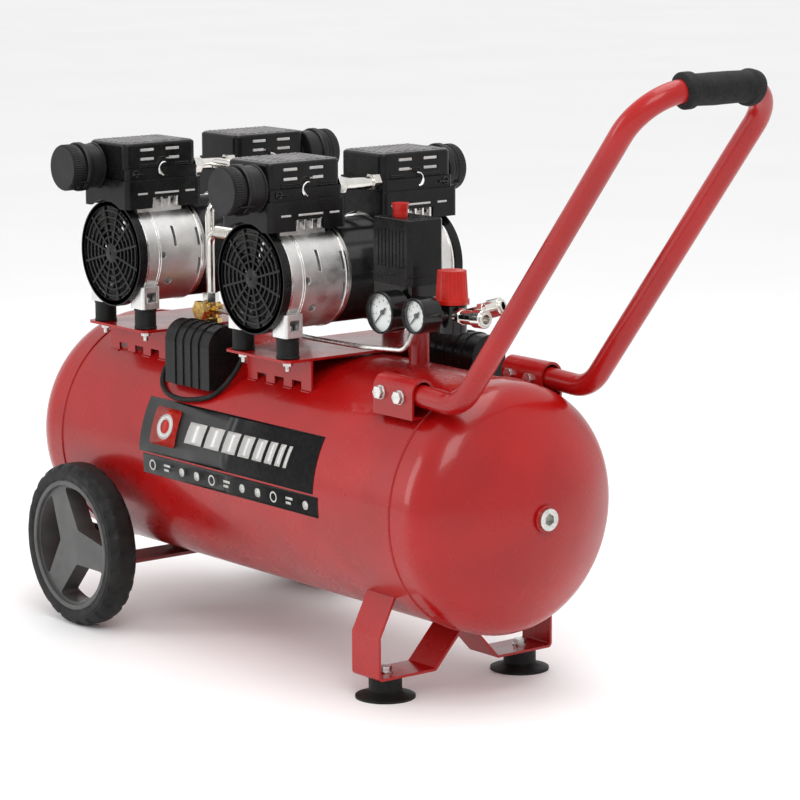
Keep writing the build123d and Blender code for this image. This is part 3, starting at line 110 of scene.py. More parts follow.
def blend_colour(tree, factor, first, second):
    mix = node(tree, "ShaderNodeMix", data_type="RGBA")
    for index, value in ((0, factor), (6, first), (7, second)):
        if isinstance(value, bpy.types.NodeSocket):
            tree.links.new(value, mix.inputs[index])
        else:
            mix.inputs[index].default_value = value
    return mix.outputs[2]


def rgba(colour):
    return (*colour, 1.0)


WEAR_COSINES = (0.97, 0.8)   # an edge starts to wear and is fully worn at these cosines
WEAR_SIZE = 0.006            # size of the worn patches, in metres
DUST_COLOUR = (0.42, 0.38, 0.34)


def surface(name, dark, light, rough, patch=0.05, grain=0.0008, depth=0.00003, stretch=None,
            metallic=0.0, coat=0.0, coat_rough=0.06, edge=None, rounding=0.0006, speckle=None,
            cells=None, dust=0.0, specular=0.5):
    """One finish: patchy colour, uneven roughness, fine bump, softened and worn edges, dust on top.

    patch and grain are sizes in metres; edge, speckle and cells are (colour, amount) pairs with
    a size between them for the last two.
    """
    material = bpy.data.materials.new(name)
    material.use_nodes = True
    tree = material.node_tree
    tree.nodes.clear()
    where = node(tree, "ShaderNodeTexCoord").outputs["Object"]
    broad = noise_of(tree, where, patch)
    colour = blend_colour(tree, remap(tree, broad, 0.35, 0.65, 0, 1), rgba(dark), rgba(light))
    fine = noise_of(tree, where, grain, 4.0, stretch)
    if speckle:
        tint, size, amount = speckle
        specks = remap(tree, noise_of(tree, where, size, 5.0), 0.56, 0.66, 0, amount)
        colour = blend_colour(tree, specks, colour, rgba(tint))
    height = fine
    if cells:
        tint, size, amount = cells
        cell = node(tree, "ShaderNodeTexVoronoi", {"Vector": where, "Scale": 1 / size})
        cell = cell.outputs["Distance"]
        colour = blend_colour(tree, remap(tree, cell, 0.25, 0.6, 0, amount), colour, rgba(tint))
        height = node(tree, "ShaderNodeMath", {0: fine, 1: cell}, operation="SUBTRACT").outputs[0]
    smears = noise_of(tree, where, patch * 0.4, 5.0)
    roughness = remap(tree, smears, 0.3, 0.7, rough[0], rough[1])
    rounded = node(tree, "ShaderNodeBevel", {"Radius": rounding}, samples=4).outputs[0]
    facing = node(tree, "ShaderNodeNewGeometry").outputs["Normal"]
    if edge:
        tint, amount = edge
        dot = node(tree, "ShaderNodeVectorMath", {0: rounded, 1: facing}, operation="DOT_PRODUCT")
        worn = remap(tree, dot.outputs["Value"], *WEAR_COSINES, 0, amount)
        breaks = remap(tree, noise_of(tree, where, WEAR_SIZE, 4.0), 0.4, 0.6, 0.2, 1)
        worn = node(tree, "ShaderNodeMath", {0: worn, 1: breaks}, operation="MULTIPLY").outputs[0]
        colour = blend_colour(tree, worn, colour, rgba(tint))
    if dust:
        up = node(tree, "ShaderNodeSeparateXYZ", {0: facing}).outputs["Z"]
        lying = remap(tree, up, 0.3, 1.0, 0, dust)
        lying = node(tree, "ShaderNodeMath", {0: lying, 1: smears}, operation="MULTIPLY").outputs[0]
        colour = blend_colour(tree, lying, colour, rgba(DUST_COLOUR))
    bump = node(tree, "ShaderNodeBump", {
        "Height": height, "Strength": 1.0, "Distance": depth, "Normal": rounded})
    shader = node(tree, "ShaderNodeBsdfPrincipled", {
        "Base Color": colour, "Roughness": roughness, "Metallic": metallic, "Normal": bump.outputs[0],
        "Coat Weight": coat, "Coat Roughness": coat_rough, "Specular IOR Level": specular})
    output = node(tree, "ShaderNodeOutputMaterial")
    tree.links.new(shader.outputs[0], output.inputs[0])
    return material


LENS_GLINT = 0.05   # share of the light that a lens mirrors


def clear_lens(name):
    """Clear plastic: light passes straight through and the face glints."""
    material = bpy.data.materials.new(name)
    material.use_nodes = True
    tree = material.node_tree
    tree.nodes.clear()
    where = node(tree, "ShaderNodeTexCoord").outputs["Object"]
    smears = noise_of(tree, where, 0.008)
    gloss = node(tree, "ShaderNodeBsdfGlossy", {"Roughness": remap(tree, smears, 0.3, 0.7, 0.02, 0.12)})
    clear = node(tree, "ShaderNodeBsdfTransparent", {"Color": (0.97, 0.98, 0.98, 1)})
    mix = node(tree, "ShaderNodeMixShader", {0: LENS_GLINT, 1: clear.outputs[0], 2: gloss.outputs[0]})
    output = node(tree, "ShaderNodeOutputMaterial")
    tree.links.new(mix.outputs[0], output.inputs[0])
    return material


MATERIALS = {
    "red_paint": surface(
        "red_paint", (0.27, 0.002, 0.002), (0.34, 0.003, 0.003), (0.22, 0.34), patch=0.12, grain=0.0028,
        depth=0.00004, coat=0.25, coat_rough=0.05,
        edge=((0.45, 0.02, 0.015), 0.35), specular=0.3),
    "dark_red_paint": surface(
        "dark_red_paint", (0.13, 0.006, 0.005), (0.20, 0.009, 0.007), (0.35, 0.5), patch=0.07, grain=0.002,
        depth=0.00004, coat=0.3, coat_rough=0.1, edge=((0.35, 0.03, 0.02), 0.4), dust=0.08),
    "zinc": surface(
        "zinc", (0.50, 0.50, 0.49), (0.68, 0.67, 0.64), (0.22, 0.4), patch=0.006, grain=0.0012, metallic=1.0,
        edge=((0.85, 0.84, 0.82), 0.6), speckle=((0.40, 0.37, 0.30), 0.002, 0.4)),
    "aluminium": surface(
        "aluminium", (0.64, 0.63, 0.62), (0.76, 0.75, 0.74), (0.36, 0.50), patch=0.03, grain=0.0011,
        depth=0.00009, metallic=1.0, edge=((0.92, 0.91, 0.89), 0.9), rounding=0.0011,
        speckle=((0.36, 0.35, 0.34), 0.0016, 0.35)),
    "machined": surface(
        "machined", (0.72, 0.71, 0.69), (0.86, 0.85, 0.83), (0.14, 0.28), patch=0.02, grain=0.0009,
        depth=0.00002, stretch=(6, 0.4, 6), metallic=1.0, edge=((0.95, 0.94, 0.92), 0.7)),
    "steel": surface(
        "steel", (0.42, 0.41, 0.40), (0.58, 0.57, 0.55), (0.22, 0.38), patch=0.02, grain=0.0007,
        depth=0.00002, stretch=(1, 5, 5), metallic=1.0, edge=((0.8, 0.79, 0.77), 0.6)),
    "copper_laminate": surface(
        "copper_laminate", (0.30, 0.13, 0.06), (0.52, 0.25, 0.12), (0.35, 0.55), patch=0.012, grain=0.0012,
        depth=0.0001, stretch=(0.5, 8, 0.5), metallic=0.8, edge=((0.7, 0.4, 0.25), 0.5)),
    "nickel": surface(
        "nickel", (0.66, 0.64, 0.60), (0.78, 0.76, 0.72), (0.08, 0.2), patch=0.015, grain=0.001,
        depth=0.00001, metallic=1.0, edge=((0.92, 0.9, 0.87), 0.5)),
    "brass": surface(
        "brass", (0.55, 0.34, 0.09), (0.74, 0.50, 0.17), (0.14, 0.3), patch=0.008, grain=0.001,
        depth=0.00002, metallic=1.0, edge=((0.9, 0.7, 0.35), 0.6), speckle=((0.3, 0.17, 0.05), 0.002, 0.35)),
    "black_plastic": surface(
        "black_plastic", (0.004, 0.004, 0.0043), (0.008, 0.0078, 0.0078), (0.20, 0.34), patch=0.03,
        grain=0.0007, depth=0.00004, edge=((0.03, 0.0295, 0.029), 0.6), specular=0.2),
    "filter_plastic": surface(
        "filter_plastic", (0.006, 0.006, 0.0062), (0.012, 0.0117, 0.0117), (0.32, 0.48), patch=0.02,
        grain=0.0006, depth=0.00005, edge=((0.05, 0.049, 0.048), 0.6), specular=0.25),
    "black_paint": surface(
        "black_paint", (0.003, 0.003, 0.003), (0.006, 0.006, 0.006), (0.12, 0.24), patch=0.02, grain=0.0015,
        depth=0.00003, coat=0.15, edge=((0.06, 0.06, 0.06), 0.5), specular=0.3),
    "grey_plastic": surface(
        "grey_plastic", (0.045, 0.0445, 0.044), (0.065, 0.064, 0.063), (0.32, 0.46), patch=0.03, grain=0.0007,
        depth=0.00005, edge=((0.22, 0.215, 0.21), 0.5), dust=0.05),
    "light_plastic": surface(
        "light_plastic", (0.34, 0.33, 0.32), (0.46, 0.45, 0.44), (0.25, 0.4), patch=0.02, grain=0.0008,
        depth=0.00004, edge=((0.75, 0.74, 0.72), 0.6)),
    "vent_plastic": surface(
        "vent_plastic", (0.10, 0.097, 0.098), (0.17, 0.165, 0.167), (0.22, 0.36), patch=0.02, grain=0.0008,
        depth=0.00004, edge=((0.5, 0.49, 0.48), 0.7), dust=0.1),
    "red_plastic": surface(
        "red_plastic", (0.38, 0.008, 0.004), (0.46, 0.012, 0.006), (0.25, 0.4), patch=0.02, grain=0.0008,
        depth=0.00003, edge=((0.62, 0.05, 0.03), 0.5), specular=0.3),
    "black_rubber": surface(
        "black_rubber", (0.005, 0.005, 0.005), (0.010, 0.0098, 0.0096), (0.45, 0.65), patch=0.02, grain=0.001,
        depth=0.00007, edge=((0.03, 0.029, 0.028), 0.5), specular=0.2),
    "tyre_rubber": surface(
        "tyre_rubber", (0.006, 0.006, 0.0062), (0.013, 0.0127, 0.0125), (0.42, 0.60), patch=0.025,
        grain=0.0012, depth=0.0001, edge=((0.03, 0.029, 0.028), 0.5), specular=0.2),
    "foam": surface(
        "foam", (0.014, 0.014, 0.015), (0.026, 0.026, 0.027), (0.72, 0.9), patch=0.02, grain=0.0012,
        depth=0.00025, cells=((0.004, 0.004, 0.004), 0.0011, 0.8), rounding=0.0015, dust=0.05, specular=0.25),
    "dial": surface(
        "dial", (0.72, 0.72, 0.70), (0.80, 0.80, 0.79), (0.35, 0.5), patch=0.02, grain=0.0006, depth=0.00001),
    "ink": surface(
        "ink", (0.008, 0.008, 0.009), (0.014, 0.014, 0.014), (0.3, 0.45), patch=0.01, grain=0.0006,
        depth=0.00001),
    "label_black": surface(
        "label_black", (0.006, 0.006, 0.006), (0.010, 0.010, 0.010), (0.16, 0.26), patch=0.08, grain=0.003,
        depth=0.00002, edge=((0.03, 0.03, 0.03), 0.3), specular=0.25),
    "label_white": surface(
        "label_white", (0.70, 0.69, 0.67), (0.78, 0.77, 0.75), (0.25, 0.38), patch=0.05, grain=0.003,
        depth=0.00002, coat=0.2),
    "lens": clear_lens("lens"),
}


# ---------------------------------------------------------------- mesh building
class Shape:
    """Gathers the faces of one piece in the tank's frame, in millimetres."""

    def __init__(self):
        self.points = []
        self.faces = []

    def grid(self, rings, closed_rings=False, closed_ring=True, caps=True):
        """Skin over rings of equally many points, with flat caps on the first and last one."""
        first, count = len(self.points), len(rings[0])
        for ring in rings:
            self.points += [Vector(point) for point in ring]
        rows = len(rings) if closed_rings else len(rings) - 1
        columns = count if closed_ring else count - 1
        for i in range(rows):
            a, b = first + i * count, first + (i + 1) % len(rings) * count
            for j in range(columns):
                k = (j + 1) % count
                self.faces.append((a + j, a + k, b + k, b + j))
        if caps and not closed_rings and closed_ring:
            last = first + (len(rings) - 1) * count
            self.faces.append(tuple(range(first + count - 1, first - 1, -1)))
            self.faces.append(tuple(range(last, last + count)))
        return self

    def box(self, low, high):
        x, y, z = zip(low, high)
        lower = [(x[0], y[0], z[0]), (x[1], y[0], z[0]), (x[1], y[1], z[0]), (x[0], y[1], z[0])]
        upper = [(px, py, z[1]) for px, py, _ in lower]
        return self.grid([lower, upper])

    def lathe(self, axis, centre, profile, segments=96, dip=None):
        """Ring of revolution about an axis through a centre; the profile is a closed loop of
        (along, radius) points, and dip(turn, along) takes some off the radius."""
        rings = []
        for step in range(segments):
            turn = 2 * pi * step / segments
            ring = []
            for along, radius in profile:
                reach = radius - (dip(step, along) if dip else 0)
                u, v = reach * cos(turn), reach * sin(turn)
                offset = {"x": (along, u, v), "y": (u, along, v), "z": (u, v, along)}[axis]
                ring.append(Vector(centre) + Vector(offset))
            rings.append(ring)
        return self.grid(rings, closed_rings=True)

    def tube(self, path, radius, sides=10, closed=False, flat=1.0):
        """Round bar along a path; radius is a number or one value for each point."""
        path = [Vector(point) for point in path]
        radii = radius if isinstance(radius, list) else [radius] * len(path)
        rings, across = [], None
        for index, point in enumerate(path):
            before = path[index - 1] if index or closed else point
            after = path[(index + 1) % len(path)] if index < len(path) - 1 or closed else point
            along = (after - before).normalized()
            if across is None:
                across = along.orthogonal()
            across = (across - along * across.dot(along)).normalized()
            side = along.cross(across)
            ring = []
            for step in range(sides):
                turn = 2 * pi * step / sides
                ring.append(point + radii[index] * (across * cos(turn) + side * sin(turn) * flat))
            rings.append(ring)
        return self.grid(rings, closed_rings=closed)

    def patch(self, corners):
        """One flat face."""
        first = len(self.points)
        self.points += [Vector(corner) for corner in corners]
        self.faces.append(tuple(range(first, first + len(corners))))
        return self

    def mesh_of(self, other, place):
        """Add a Blender mesh in metres after placing it by a matrix of the row frame."""
        first = len(self.points)
        self.points += [(place @ vertex.co - ORIGIN) / MM for vertex in other.vertices]
        self.faces += [tuple(first + index for index in face.vertices) for face in other.polygons]

    def piece(self, name, finish, body="frame", slot=None, bevel=0.0, thick=0.0, smooth=35.0):
        """Make the object, in metres in the row frame, and let it ride on its body."""
        mesh = bpy.data.meshes.new(name)
        mesh.from_pydata([row(point) for point in self.points], [], self.faces)
        mesh.validate()
        mesh.materials.append(MATERIALS[finish])
        mesh.shade_smooth()
        mesh.set_sharp_from_angle(angle=radians(smooth))
        made = bpy.data.objects.new(name, mesh)
        bpy.context.scene.collection.objects.link(made)
        if thick:
            shell = made.modifiers.new("thickness", "SOLIDIFY")
            shell.thickness, shell.offset = thick * MM, 1.0
        if bevel:
            edges = made.modifiers.new("rounded_edges", "BEVEL")
            edges.width, edges.segments, edges.limit_method = bevel * MM, 2, "ANGLE"
            edges.harden_normals = False
        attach(made, body)
        return made


def arc(centre, radius, start, end, steps):
    """Points (u, v) on an arc, angles in degrees."""
    turns = [radians(start + (end - start) * step / steps) for step in range(steps + 1)]
    return [(centre[0] + radius * cos(turn), centre[1] + radius * sin(turn)) for turn in turns]


# ---------------------------------------------------------------- tank: welds and label
def weld_path(centre_x, centre_y, radius, steps=64):
    """Closed line where an upright round boss meets the top of the tank."""
    line = []
    for x, y in arc((centre_x, centre_y), radius, 0, 360, steps)[:-1]:
        line.append((x, y, TANK_Z + sqrt(TANK_R**2 - y**2)))
    return line


def rippled(count, radius, ripple, pitch):
    """Radii of a weld bead, swelling once in every `pitch` steps."""
    return [radius + ripple * sin(2 * pi * step / pitch) for step in range(count)]


POST_WELD = (204.0, 0.0, 12.6)   # X, Y and radius
CHECK_WELD = (-150.0, -40.0, 13.6)
SEAM_BEAD = (1.5, 0.22, 3)       # radius, ripple and steps between two swellings
BOSS_BEAD = (1.7, 0.25, 4)
SADDLE_BEAD = (1.3, 0.25, 4)
SADDLE_WELD_Y = (-92.4, -88.6, 88.6, 92.4)
SADDLE_WELD_RUNS = ((-61, 18), (-25, 16), (9, 16), (43, 18))   # start and length


def add_welds():
    """Rippled beads round the tank's seams, round its bosses and along the saddle plates."""
    steps = 900
    beads = Shape()
    for x in (-SEAM_X, SEAM_X):
        turns = [2 * pi * step / steps for step in range(steps)]
        ring = [(x, TANK_R * cos(turn), TANK_Z + TANK_R * sin(turn)) for turn in turns]
        beads.tube(ring, rippled(steps, *SEAM_BEAD), sides=8, closed=True)
    for x, y, radius in (POST_WELD, CHECK_WELD):
        line = weld_path(x, y, radius)
        beads.tube(line, rippled(len(line), *BOSS_BEAD), sides=8, closed=True)
    for unit in UNIT_X.values():
        for y in SADDLE_WELD_Y:
            z = TANK_Z + sqrt(TANK_R**2 - y**2)
            for start, length in SADDLE_WELD_RUNS:
                line = [(unit + start + step, y, z) for step in range(length)]
                beads.tube(line, rippled(length, *SADDLE_BEAD), sides=6)
    beads.piece("weld_beads", "red_paint")


LABEL_LIFT = 0.25     # height of the label and of its art over the tank's skin
ART_LIFT = 0.55
LABEL_STRIP = 3       # a rectangle is bent to the tank in strips about this high
PANEL_X, PANEL_UP = (-157.0, 190.0), (8.6, 75.5)
SYMBOLS_X, SYMBOLS_UP = (-148.0, 200.0), (-17.5, 6.4)
STRIPE_START, STRIPE_GAP, STRIPE_SLANT = -66.0, 6.0, 5.0
STRIPE_UP = (30.0, 56.0)
STRIPE_WIDTHS = (34, 30, 26, 22, 18, 14, 10, 6)
SYMBOL_COUNT, SYMBOL_PITCH, SYMBOL_UP = 11, 30.5, -6


def on_tank(x, up, lift):
    """Point on the gauge side of the tank, `up` millimetres along the skin above mid-height."""
    turn = up / TANK_R
    reach = TANK_R + lift
    return (x, -reach * cos(turn), TANK_Z + reach * sin(turn))


def label_rect(shape, x, up, lift, corner=0.0):
    """Rectangle bent to the tank, in strips narrow enough to follow it."""
    strips = max(1, ceil((up[1] - up[0]) / LABEL_STRIP))
    rows = []
    for step in range(strips + 1):
        level = up[0] + (up[1] - up[0]) * step / strips
        inset = max(0.0, corner - min(level - up[0], up[1] - level))
        pull = corner - sqrt(max(0.0, corner**2 - inset**2))
        rows.append([on_tank(x[0] + pull, level, lift), on_tank(x[1] - pull, level, lift)])
    shape.grid(rows, closed_ring=False)


def label_ring(shape, x, up, outer, inner, lift, sides=32):
    rows = [[], []]
    for radius, ring in ((outer, rows[0]), (inner, rows[1])):
        ring += [on_tank(u, v, lift) for u, v in arc((x, up), radius, 0, 360, sides)[:-1]]
    shape.grid(rows, caps=False)


def label_disc(shape, x, up, radius, lift, sides=24):
    shape.patch([on_tank(u, v, lift) for u, v in arc((x, up), radius, 0, 360, sides)[:-1]])


def add_label():
    """Side label: black panels, a red square with a ring, plain slanted stripes and simple marks."""
    panel, art, mark = Shape(), Shape(), Shape()
    label_rect(panel, PANEL_X, PANEL_UP, LABEL_LIFT)
    label_rect(panel, SYMBOLS_X, SYMBOLS_UP, LABEL_LIFT)
    panel.piece("side_label", "label_black", slot="black_paint", thick=0.12)

    label_rect(mark, (-136, -84), (20, 66), ART_LIFT, corner=4)
    mark.piece("label_square", "red_plastic", thick=0.1)
    label_ring(art, -110, 43, 15.5, 8.5, ART_LIFT + 0.25)
    x, steps = STRIPE_START, 8
    for width in STRIPE_WIDTHS:
        rows = []
        for step in range(steps + 1):
            share = step / steps
            level = STRIPE_UP[0] + (STRIPE_UP[1] - STRIPE_UP[0]) * share
            left = x + STRIPE_SLANT * share
            rows.append([on_tank(left, level, ART_LIFT), on_tank(left + width, level, ART_LIFT)])
        art.grid(rows, closed_ring=False)
        x += width + STRIPE_GAP
    for index in range(SYMBOL_COUNT):
        x = SYMBOLS_X[0] + 20 + index * SYMBOL_PITCH
        kind = index % 4
        if kind == 0:
            label_ring(art, x, SYMBOL_UP, 6.5, 4.6, ART_LIFT)
        elif kind == 1:
            label_rect(art, (x - 6.5, x + 6.5), (-4.5, -1.5), ART_LIFT)
            label_rect(art, (x - 6.5, x + 3.0), (-10.0, -7.0), ART_LIFT)
        elif kind == 2:
            label_disc(art, x, SYMBOL_UP, 5.2, ART_LIFT)
        else:
            label_rect(art, (x - 5.0, x + 5.0), (-11, -1), ART_LIFT, corner=2)
    art.piece("label_marks", "label_white", slot="dial", thick=0.1)


# ---------------------------------------------------------------- wheels
SCALLOP_DEPTH = 2.2
SCALLOP_REACH = (9.5, 17.5)   # distances from the tyre's middle plane
TYRE_HEIGHT = 19.5


def add_tyres():
    """Rounded tread with shallow scallops on its shoulders, in place of the plain CAD tyres."""
    scallops, per_scallop = 26, 14

    def dip(step, along):
        """Depth of the scallops at a step round the tyre; those of the two shoulders alternate."""
        phase = step + (per_scallop / 2 if along > 0 else 0)
        wave = max(0.0, sin(2 * pi * phase / per_scallop)) ** 0.5
        return SCALLOP_DEPTH * wave if SCALLOP_REACH[0] < abs(along) < SCALLOP_REACH[1] else 0.0

    for side in ("near", "far"):
        low, high = span(f"tyre_{side}")
        centre = (low + high) / 2
        radius, half = (high.z - low.z) / 2, (high.y - low.y) / 2
        inner = radius - TYRE_HEIGHT
        outside = [
            (half - 2.0, inner), (half, inner + 3), (half, inner + 8.5), (half - 0.7, inner + 9.2),
            (half - 0.7, inner + 11.5), (half - 1.0, inner + 12.2), (half - 2.2, radius - 5.2),
            (half - 4.2, radius - 2.4), (half - 6.8, radius - 1.0), (half - 9.8, radius - 0.3),
            (3.0, radius)]
        inside = [(-along, reach) for along, reach in reversed(outside)]
        tyre = Shape().lathe("y", centre, outside + inside, scallops * per_scallop, dip)
        made = tyre.piece(f"tread_tyre_{side}", "tyre_rubber", f"wheel_{side}")
        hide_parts(f"tyre_{side}")


def add_rim_details():
    """Raised lip round each rim."""
    for side, sign in (("near", -1), ("far", 1)):
        low, high = span(f"rim_{side}")
        centre = (low + high) / 2
        radius = (high.z - low.z) / 2
        lip = [(0, radius - 6.5), (0, radius - 0.3), (1.2, radius - 0.8), (1.8, radius - 2.4),
               (1.2, radius - 5.8)]
        trim = Shape()
        lip_y = sign * (abs(middle(f"tyre_{side}").y) + 16.9)
        trim.lathe("y", (centre.x, lip_y, centre.z), [(sign * along, reach) for along, reach in lip])
        trim.piece(f"rim_trim_{side}", "grey_plastic", f"wheel_{side}")


# ---------------------------------------------------------------- handle grip
TUBE_R = 12.5
HANDLE_SLOPE = radians(51.0)
TOP_BEND_R = 57.0
GRIP_R = 17.0
GRIP_END_R = 19.5
GRIP_LIP, GRIP_ROLL, GRIP_NECK = 3.0, 11.5, 15.0   # ends of the lip, the roll and the neck
GRIP_SOFTNESS = 0.35
GRIP_WRAPS = (9.0, 23.0)   # degrees of the near and the far bend under the grip


def add_grip():
    """Foam sleeve with rolled ends on the handle's cross-bar, round into both bends."""
    tube_high = span("handle_tube")[1]
    corner = Vector((tube_high.x - TUBE_R, 0, tube_high.z - TUBE_R))
    straight = tube_high.y - TUBE_R - TOP_BEND_R
    down = Vector((-cos(HANDLE_SLOPE), 0, -sin(HANDLE_SLOPE)))
    wrap_steps, run_steps = 24, 60
    line = []
    for step in range(wrap_steps):
        turn = radians(GRIP_WRAPS[0] * (1 - step / wrap_steps))
        line.append((-straight - TOP_BEND_R * sin(turn), TOP_BEND_R * (1 - cos(turn))))
    line += [(-straight + 2 * straight * step / run_steps, 0.0) for step in range(run_steps)]
    for step in range(wrap_steps + 1):
        turn = radians(GRIP_WRAPS[1] * step / wrap_steps)
        line.append((straight + TOP_BEND_R * sin(turn), TOP_BEND_R * (1 - cos(turn))))
    path = [corner + Vector((0, y, 0)) + down * drop for y, drop in line]
    lengths = [0.0]
    for before, after in zip(path, path[1:]):
        lengths.append(lengths[-1] + (after - before).length)
    total = lengths[-1]

    def radius_at(distance):
        """Sleeve radius by the distance from its nearer end."""
        if distance < GRIP_LIP:
            return TUBE_R + 0.4 + (GRIP_END_R - TUBE_R - 0.6) * sin(pi / 2 * distance / GRIP_LIP)
        if distance < GRIP_ROLL:
            return GRIP_END_R - 0.2
        if distance < GRIP_NECK:
            share = (distance - GRIP_ROLL) / (GRIP_NECK - GRIP_ROLL)
            return GRIP_END_R - 0.2 - (GRIP_END_R - GRIP_R + 0.3) * (1 - cos(pi * share)) / 2
        return GRIP_R - 0.5 + 0.4 * min(1.0, (distance - GRIP_NECK) / 30)

    sides = 40
    rings, across = [], Vector((0, 0, 1))
    for index, point in enumerate(path):
        before, after = path[max(0, index - 1)], path[min(len(path) - 1, index + 1)]
        along = (after - before).normalized()
        across = (across - along * across.dot(along)).normalized()
        side = along.cross(across)
        distance = min(lengths[index], total - lengths[index])
        ring = []
        for step in range(sides):
            turn = 2 * pi * step / sides
            direction = across * cos(turn) + side * sin(turn)
            dent = noise.noise((point + direction * GRIP_R) * 0.05) * min(1.0, distance / 10)
            soft = GRIP_SOFTNESS * dent
            ring.append(point + direction * (radius_at(distance) + soft))
        rings.append(ring)
    grip = Shape().grid(rings).piece("foam_grip", "foam")
    smooth = grip.modifiers.new("soft", "SUBSURF")
    smooth.levels = smooth.render_levels = 1
    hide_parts("handle_grip")


# ---------------------------------------------------------------- heads and filters
SLOT_Z = (572.0, 583.0)      # rows of slots in the vent boxes, and the slots' middles along Y
SLOT_Y = (65.0, 102.0)
SLOT_HALF = (9.5, 1.7)
SIDE_SLOTS = ((114.0, 7.5), (79.0, 18.0), (45.0, 7.5))   # middle and half length along Y
SIDE_SLOT_Z = 531.0
SIDE_SLOT_HALF_Z = 1.2
WINDOW_FINS = (64.0, 75.0, 86.0, 97.0)
WINDOW_FIN_HALF = 1.3
WINDOW_Z = (514.0, 525.6)
LINE_RISE = 1.6              # raised lines on the vent boxes' sides
LINE_BENDS = ((116, LINE_RISE), (92, LINE_RISE), (89, 2.6), (85, 8.0), (82, 9.2), (71, 9.2))
LINE_TAIL_Y = (63, 52, 42)
HOOK_Y, HOOK_R = 80.0, 8.0
TOP_RIBS, TOP_RIB_START, TOP_RIB_PITCH = 13, 41.0, 6.9   # wavy ribs on the vent boxes
TOP_RIB_HALF, TOP_RIB_STEPS = 33, 44


def mirror_y(points, side):
    """Points given for the far side, brought to the side asked for."""
    return [(x, side * y, z) for x, y, z in points]


def span_box(shape, x, y, z):
    low, high = zip(sorted(x), sorted(y), sorted(z))
    shape.box(low, high)


def add_head_details():
    """Inserts in the slots, fins in the windows, lines and hooks on the sides, ribs on top."""
    inserts, fins, wire, hooks, ribs, rims = [Shape() for _ in range(6)]
    step_z = VENT_LOW.z
    for unit in UNIT_X.values():
        for side in (-1, 1):
            for face in (-1, 1):
                for y in SLOT_Y:
                    for z in SLOT_Z:
                        span_box(inserts, (unit + face * (VENT_X - 4), unit + face * (VENT_X + 0.5)),
                                 (side * (y - SLOT_HALF[0]), side * (y + SLOT_HALF[0])),
                                 (z - SLOT_HALF[1], z + SLOT_HALF[1]))
                for y, half in SIDE_SLOTS:
                    span_box(inserts, (unit + face * (HEAD_X - 5), unit + face * (HEAD_X + 0.4)),
                             (side * (y - half + 0.6), side * (y + half - 0.6)),
                             (SIDE_SLOT_Z - SIDE_SLOT_HALF_Z, SIDE_SLOT_Z + SIDE_SLOT_HALF_Z))
                for y in WINDOW_FINS:
                    span_box(fins, (unit + face * (HEAD_X - 7), unit + face * (HEAD_X - 1)),
                             (side * (y - WINDOW_FIN_HALF), side * (y + WINDOW_FIN_HALF)), WINDOW_Z)
                wall = unit + face * (VENT_X + 0.4)
                for lift in (0.0, 3.0):
                    points = [(wall, y, step_z + rise + lift) for y, rise in LINE_BENDS]
                    wire.tube(mirror_y(points, side), 0.8, sides=8)
                    points = [(wall, y, step_z + LINE_RISE + lift) for y in LINE_TAIL_Y]
                    wire.tube(mirror_y(points, side), 0.8, sides=8)
                step_face = unit + face * (STEP_X + 0.9)
                hook = [(step_face, 2 * HOOK_Y - y, z)
                        for y, z in arc((HOOK_Y, step_z - 1.5), HOOK_R, 260, 80, 18)]
                taper = [0.9 + 1.1 * sin(pi * min(1.0, step / 9)) for step in range(len(hook))]
                hooks.tube(mirror_y(hook, side), taper, sides=10)
                clip = [(step_face, y, z) for y, z in arc((122.0, step_z - 6), 4.0, 0, 360, 16)]
                wire.tube(mirror_y(clip[:-1], side), 0.9, sides=8, closed=True)
                bar = [(step_face, y, step_z - 6.5) for y in (126, 119, 112)]
                wire.tube(mirror_y(bar, side), [1.6, 1.1, 1.5], sides=8)
            for index in range(TOP_RIBS):
                y_mid = TOP_RIB_START + TOP_RIB_PITCH * index
                line = []
                for step in range(TOP_RIB_STEPS + 1):
                    x = TOP_RIB_HALF * (2 * step / TOP_RIB_STEPS - 1)
                    y = y_mid + 1.5 * sin(2 * pi * x / 11 + (pi if index % 2 else 0))
                    line.append((unit + x, side * y, VENT_HIGH.z + 0.4))
                ribs.tube(line, 1.45, sides=8)
            low_y, high_y = 34.0, 130.0
            outline = []
            corners = ((32, high_y - 4, 0), (-32, high_y - 4, 90), (-32, low_y + 4, 180), (32, low_y + 4, 270))
            for corner_x, corner_y, start in corners:
                outline += arc((corner_x, corner_y), 4.0, start, start + 90, 6)
            rim = [(unit + x, side * y, VENT_HIGH.z + 0.1) for x, y in outline]
            rims.tube(rim, 0.9, sides=8, closed=True)
    inserts.piece("head_slot_inserts", "light_plastic", slot="aluminium", bevel=0.5)
    fins.piece("head_window_fins", "machined", slot="aluminium", bevel=0.3)
    wire.piece("head_wires", "black_paint", slot="steel")
    hooks.piece("head_hooks", "machined", slot="steel")
    ribs.piece("vent_ribs", "vent_plastic", slot="black_plastic")
    rims.piece("vent_rims", "vent_plastic", slot="black_plastic")


FILTER_DX = 20.0
FILTER_TEETH = 60
FILTER_CLIP_R = 29.2
FILTER_CLIP_TURNS = (-35, -62, 125)


def tooth_gap(step, _):
    """Gaps between the teeth of a filter's ring."""
    return 0.55 if step % 4 < 2 else 0.0


